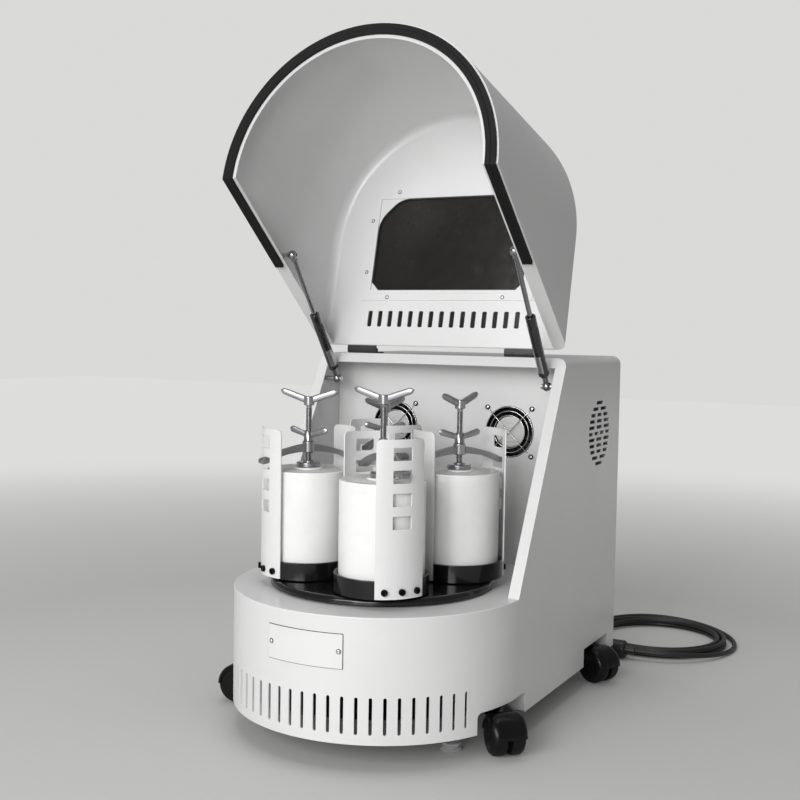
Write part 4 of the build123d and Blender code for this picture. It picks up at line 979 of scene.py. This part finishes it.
def make_jar(name, place):
    """A turned white jar, its grey lid with a seal line, and the pressed disc on the lid."""
    body = [(0, 240.2), (62.5, 240.2)] + arc(63.0, 242.2, 2.0, -90, 0, 4)
    body += [(65.0, 389.0), (64.8, 389.2), (0, 389.2)]
    seal = [(0, 389.1), (64.8, 389.1), (64.8, 389.6), (0, 389.6)]
    side = [(0, 389.5), (64.8, 389.5), (65.0, 389.7), (65.0, 400.4)] + arc(63.0, 400.5, 2.0, 0, 60, 3)
    top = [(64.0, 402.23), (63.0, 402.5), (54.0, 402.5), (53.0, 401.9), (50.0, 401.9), (49.0, 402.5), (0, 402.5)]
    disc = [(0, 402.4), (23.5, 402.4), (24.0, 402.9), (24.0, 404.4), (23.4, 405.0), (0, 405.0)]
    parts = [
        (lathe("body", body, 96), None, 0),
        (lathe("seal", seal, 96), None, 0),
        (lathe("side", side, 96), None, 0),
        (lathe("top", top, 96), None, 1),
        (lathe("disc", disc, 64), None, 0),
    ]
    piece = finished(f"jar_{name}_turned", joined("jar", parts), [m_jar, m_jar_lid],
                     f"station_{name}", place=to_metres @ place)
    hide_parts(f"jar_{name}")


guard_turns = {"right": 25.0, "rear": 25.0, "left": 28.5, "front": 24.0}
handle_turns = {"right": 79.0, "rear": 74.0, "left": 13.0, "front": 7.0}
nut_turns = {"right": 48.0, "rear": 40.0, "left": -1.0, "front": 118.0}
handle_heights = {"right": 508.0, "rear": 492.0, "left": 510.0, "front": 521.0}
for number, name in enumerate(stations):
    angle = 28 + 90 * number
    spot = move(120 * cos(radians(angle)), 120 * sin(radians(angle))) @ spin(angle, "Z")
    make_clamp(name, spot, angle)
    make_bridge(name, spot)
    make_guards(name, spot)
    make_jar(name, spot)

# ---------------------------------------------------------------- fans


def make_fan(side, x):
    """Wire finger guard with eyes and screws; rotor with curved blades and a bare foil disc."""
    face = 248.0 - 1.15
    parts = []
    for radius in (43.5, 36.0, 28.5):
        ring = [Vector((radius * cos(2 * pi * k / 64), 0, radius * sin(2 * pi * k / 64))) for k in range(64)]
        parts.append((swept("ring", ring, circle(0.8, 10), up=Vector((0, 1, 0)), ring=True), None, 0))
    for layer, angle in enumerate((45, 135)):
        y = -1.5 - 1.4 * layer
        line = []
        for t in (-54.6, -48, -44, -30, 0, 30, 44, 48, 54.6):
            drop = y if abs(t) < 46 else 0.2
            line.append(Vector((t, drop, 0)))
        wire = swept("wire", line, circle(0.8, 10), up=Vector((0, 1, 0)))
        parts.append((wire, spin(-angle, "Y"), 0))
    for dx in (-41.25, 41.25):
        for dz in (-41.25, 41.25):
            # The eye loops are drawn in black steel, unlike the chrome wire: painted shade round each screw head.
            eye = [Vector((3.8 * cos(2 * pi * k / 24), 0, 3.6 * sin(2 * pi * k / 24))) for k in range(24)]
            parts.append((swept("eye", eye, circle(0.9, 8), up=Vector((0, 1, 0)), ring=True), move(dx, 0, dz), 2))
            head = screw_head("head", 2.9, 2.2)
            parts.append((head, move(dx, 0.9, dz) @ spin(90, "X"), 1))
    whole = joined("fan_guard", parts)
    piece = finished(f"fan_guard_{side}", whole, [m_wire, m_chrome, m_bolt], "machine",
                     place=to_metres @ move(x, face, 451.0))
    parts = []
    hub = [(0, 0), (25.0, 0)] + arc(25.0, 1.5, 1.5, -90, 0, 4) + [(26.5, 3.0), (25.0, 3.6), (25.0, 16.5), (24.0, 17.5)]
    hub += [(3.5, 17.5), (3.5, 21.0), (0, 21.0)]
    parts.append((lathe("hub", hub, 64), spin(-90, "X"), 0))
    foil = [(0, -0.3), (6.0, -0.3), (6.3, -0.18), (6.6, -0.3), (13.0, -0.3), (13.3, -0.18), (13.6, -0.3), (20.0, -0.3),
            (20.3, -0.18), (20.6, -0.3), (25.6, -0.3), (26.0, -0.1), (26.0, 0.05), (0, 0.05)]
    parts.append((lathe("foil", foil[::-1], 64), spin(-90, "X"), 1))
    for k in range(7):
        points = []
        faces = []
        for i in range(9):
            t = i / 8
            r = 24.0 + 18.3 * t
            for j in range(7):
                u = j / 6 - 0.5
                sweep = u * (40 - 6 * t) + 10 * t
                depth = 9.8 + u * (13 - 3 * t) + 2.2 * (1 - 4 * u * u)
                a = radians(sweep)
                points.append((r * cos(a), depth, r * sin(a)))
        for i in range(8):
            for j in range(6):
                faces.append((i * 7 + j, i * 7 + j + 1, (i + 1) * 7 + j + 1, (i + 1) * 7 + j))
        blade = mesh_of("blade", points, faces)
        parts.append((blade, spin(k * 360 / 7, "Y"), 0))
    whole = joined("rotor", parts)
    rotor = finished(f"fan_rotor_{side}_curved", whole, [m_fan, m_hub], f"fan_{side}",
                     place=to_metres @ move(x, 251.0, 451.0))
    thick = rotor.modifiers.new("thick", "SOLIDIFY")
    thick.thickness = 0.0009
    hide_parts(f"fan_rotor_{side}")
    return piece


guards = [make_fan("left", -112.0), make_fan("right", 112.0)]
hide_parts("fan_guards")
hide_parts("fan_guards")

# ---------------------------------------------------------------- gas struts


def make_strut(side, x):
    """Black body with a wrapped sleeve, dark neck and ball socket; steel rod with its ball socket."""
    length = 261.0764
    place = move(x, 189.5, 535.0) @ spin(35.592, "X")
    ball = [(0, -8.0)] + [(8.0 * cos(radians(a)), 8.0 * sin(radians(a))) for a in range(-75, 61, 15)]
    low_end = ball + [(4.6, 8.6), (4.5, 18.0), (5.6, 19.6), (5.6, 23.4), (5.0, 24.0), (0, 24.0)]
    barrel = [(0, 24.0), (7.6, 24.0), (9.0, 25.2), (9.0, 30.8), (8.4, 31.6), (8.4, 67.6), (8.5, 68.0)]
    barrel += [(8.5, 120.0), (8.3, 120.5), (8.5, 121.0), (8.5, 139.4)] + arc(7.1, 139.6, 1.4, 0, 90, 4)
    barrel += [(5.2, 141.0), (5.0, 140.2), (4.4, 140.0), (4.4, 30.0), (0, 30.0)]
    first, last = (100, 300) if side == "right" else (-75, 100)
    points, faces = [], []
    rows, columns = 3, 24
    for i in range(rows):
        for k in range(columns + 1):
            a = radians(first + (last - first) * k / columns)
            points.append((8.62 * cos(a), 8.62 * sin(a), 32.5 + 33.5 * i / (rows - 1)))
    for i in range(rows - 1):
        for k in range(columns):
            a = i * (columns + 1) + k
            faces.append((a, a + 1, a + columns + 2, a + columns + 1))
    parts = [
        (lathe("end", low_end, 40), None, 1),
        (lathe("barrel", barrel, 40), None, 0),
        (mesh_of("wrap", points, faces), None, 2),
    ]
    piece = finished(f"strut_{side}_body", joined("strut", parts), [m_strut_black, m_strut_steel, m_sleeve],
                     f"strut_cylinder_{side}", place=to_metres @ place)
    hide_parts(f"strut_cylinder_{side}")
    rod = [(0, length - 138.0), (4.0, length - 138.0), (4.0, length - 14), (5.2, length - 11.0), (5.2, length - 6)]
    top = [(0, -8.0)] + [(8.0 * cos(radians(a)), 8.0 * sin(radians(a))) for a in range(-75, 76, 15)] + [(0, 8.0)]
    parts = [
        (lathe("rod", rod, 40), None, 0),
        (lathe("ball", top, 40), move(0, 0, length), 0),
    ]
    piece = finished(f"strut_{side}_rod", joined("strut_rod", parts), m_strut_steel, f"strut_rod_{side}",
                     place=to_metres @ place)
    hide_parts(f"strut_rod_{side}")


make_strut("left", -201.0)
make_strut("right", 201.0)

# ---------------------------------------------------------------- casters


def make_caster(name, x, y, turn):
    """Twin wheels with domed caps and a smooth hood over them."""
    place = move(x, y, 0) @ spin(turn, "Z")
    axle = move(22, 0, 30.4)
    parts = []
    for side in (-1, 1):
        wheel = [(0, 4.4), (22.0, 4.4), (28.8, 4.4), (29.6, 5.2), (30.0, 8.0), (30.0, 15.0)]
        wheel += arc(21.0, 16.6, 9.0, 0, 85, 10) + [(20.8, 25.7), (0, 26.0)]
        turned = spin(-90 * side, "X")
        parts.append((lathe("wheel", wheel, 72), axle @ turned, 0))
        cap = [(0, 25.8), (20.6, 25.6), (20.4, 26.3), (18.0, 26.7), (9.0, 27.1), (0, 27.2)]
        parts.append((lathe("cap", cap, 48), axle @ turned, 1))
    pin = [(0, -4.6), (3.0, -4.6), (3.0, 4.6), (0, 4.6)]
    parts.append((lathe("axle", pin, 24), axle @ spin(90, "X"), 2))
    piece = finished(f"caster_{name}_wheels", joined("wheels", parts), [m_wheel, m_caster, m_zinc],
                     f"wheels_{name}", place=to_metres @ place)
    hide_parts(f"caster_wheels_{name}")
    half, steps = 27.0, 30
    rings = [(26.0, 24.6, 2.0)]
    for k in range(9):
        a = radians(90 * k / 8)
        rings.append((half - 12.0 + 12.0 * cos(a), 25.0 + 8.0 * sin(a), 0.0))
    rings += [(s * -1, r, low) for s, r, low in reversed(rings)]
    points, faces = [], []
    for s, r, low in rings:
        for k in range(steps + 1):
            a = radians(2 + 176 * k / steps)
            points.append((22 + r * cos(a), s, 30.4 + max(r * sin(a), 1.0 + low)))
    for i in range(len(rings) - 1):
        for k in range(steps):
            a = i * (steps + 1) + k
            faces.append((a, a + 1, a + steps + 2, a + steps + 1))
    parts = [(mesh_of("hood", points, faces), None, 0)]
    web = cut_plate("web", rounded(-8.5, 22, 31.4, 60.0, (3, 0, 0, 8)), [], 6.0)
    parts.append((web, spin(90, "X"), 0))
    neck = [(0, 40.0), (8.6, 40.0), (9.0, 40.6), (9.0, 54.0), (24.0, 55.0)] + arc(23.0, 57.0, 1.4, -30, 60, 4)
    neck += [(12.0, 68.4), (9.0, 69.4), (0, 69.6)]
    parts.append((lathe("neck", neck, 40), None, 0))
    stem = [(0, 68.0), (5.5, 68.0)] + thread(5.5, 68.0, 82.0, 1.5, 0.6) + [(0, 82.0)]
    parts.append((lathe("stem", stem, 32), None, 1))
    whole = joined("hood", parts)
    work = bmesh.new()
    work.from_mesh(whole)
    bmesh.ops.recalc_face_normals(work, faces=work.faces)
    work.to_mesh(whole)
    work.free()
    piece = finished(f"caster_{name}_hood", whole, [m_caster, m_zinc], f"caster_{name}",
                     place=to_metres @ place)
    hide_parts(f"caster_hood_{name}")


def make_well_walls():
    """A folded sheet beside and behind each front caster."""
    parts = []
    line = [(157.0, -60.0), (159.0, -60.0), (159.0, 38.2), (232.2, 38.2), (232.2, 40.2), (157.0, 40.2)]
    for side in (-1, 1):
        points = [(side * x, y, z) for z in (38.6, 69.8) for x, y in line]
        faces = [(k, (k + 1) % 6, (k + 1) % 6 + 6, k + 6) for k in range(6)]
        for base, flip in ((0, 1), (6, -1)):
            faces += [tuple(base + k for k in quad)[::-flip] for quad in ((0, 1, 2, 5), (2, 3, 4, 5))]
        mesh = mesh_of("wall", points, [face[::side] for face in faces])
        parts.append((mesh, None, 0))
    piece = finished("front_well_walls", joined("walls", parts), m_casing, "machine", bevel=0.4 * mm,
                     place=to_metres)


make_feet()
make_well_walls()
for name, (x, y, turn) in {
    "front_right": (224, -36, -48), "front_left": (-224, -36, -172),
    "rear_right": (224, 378, -24), "rear_left": (-224, 378, 160),
}.items():
    make_caster(name, x, y, turn)
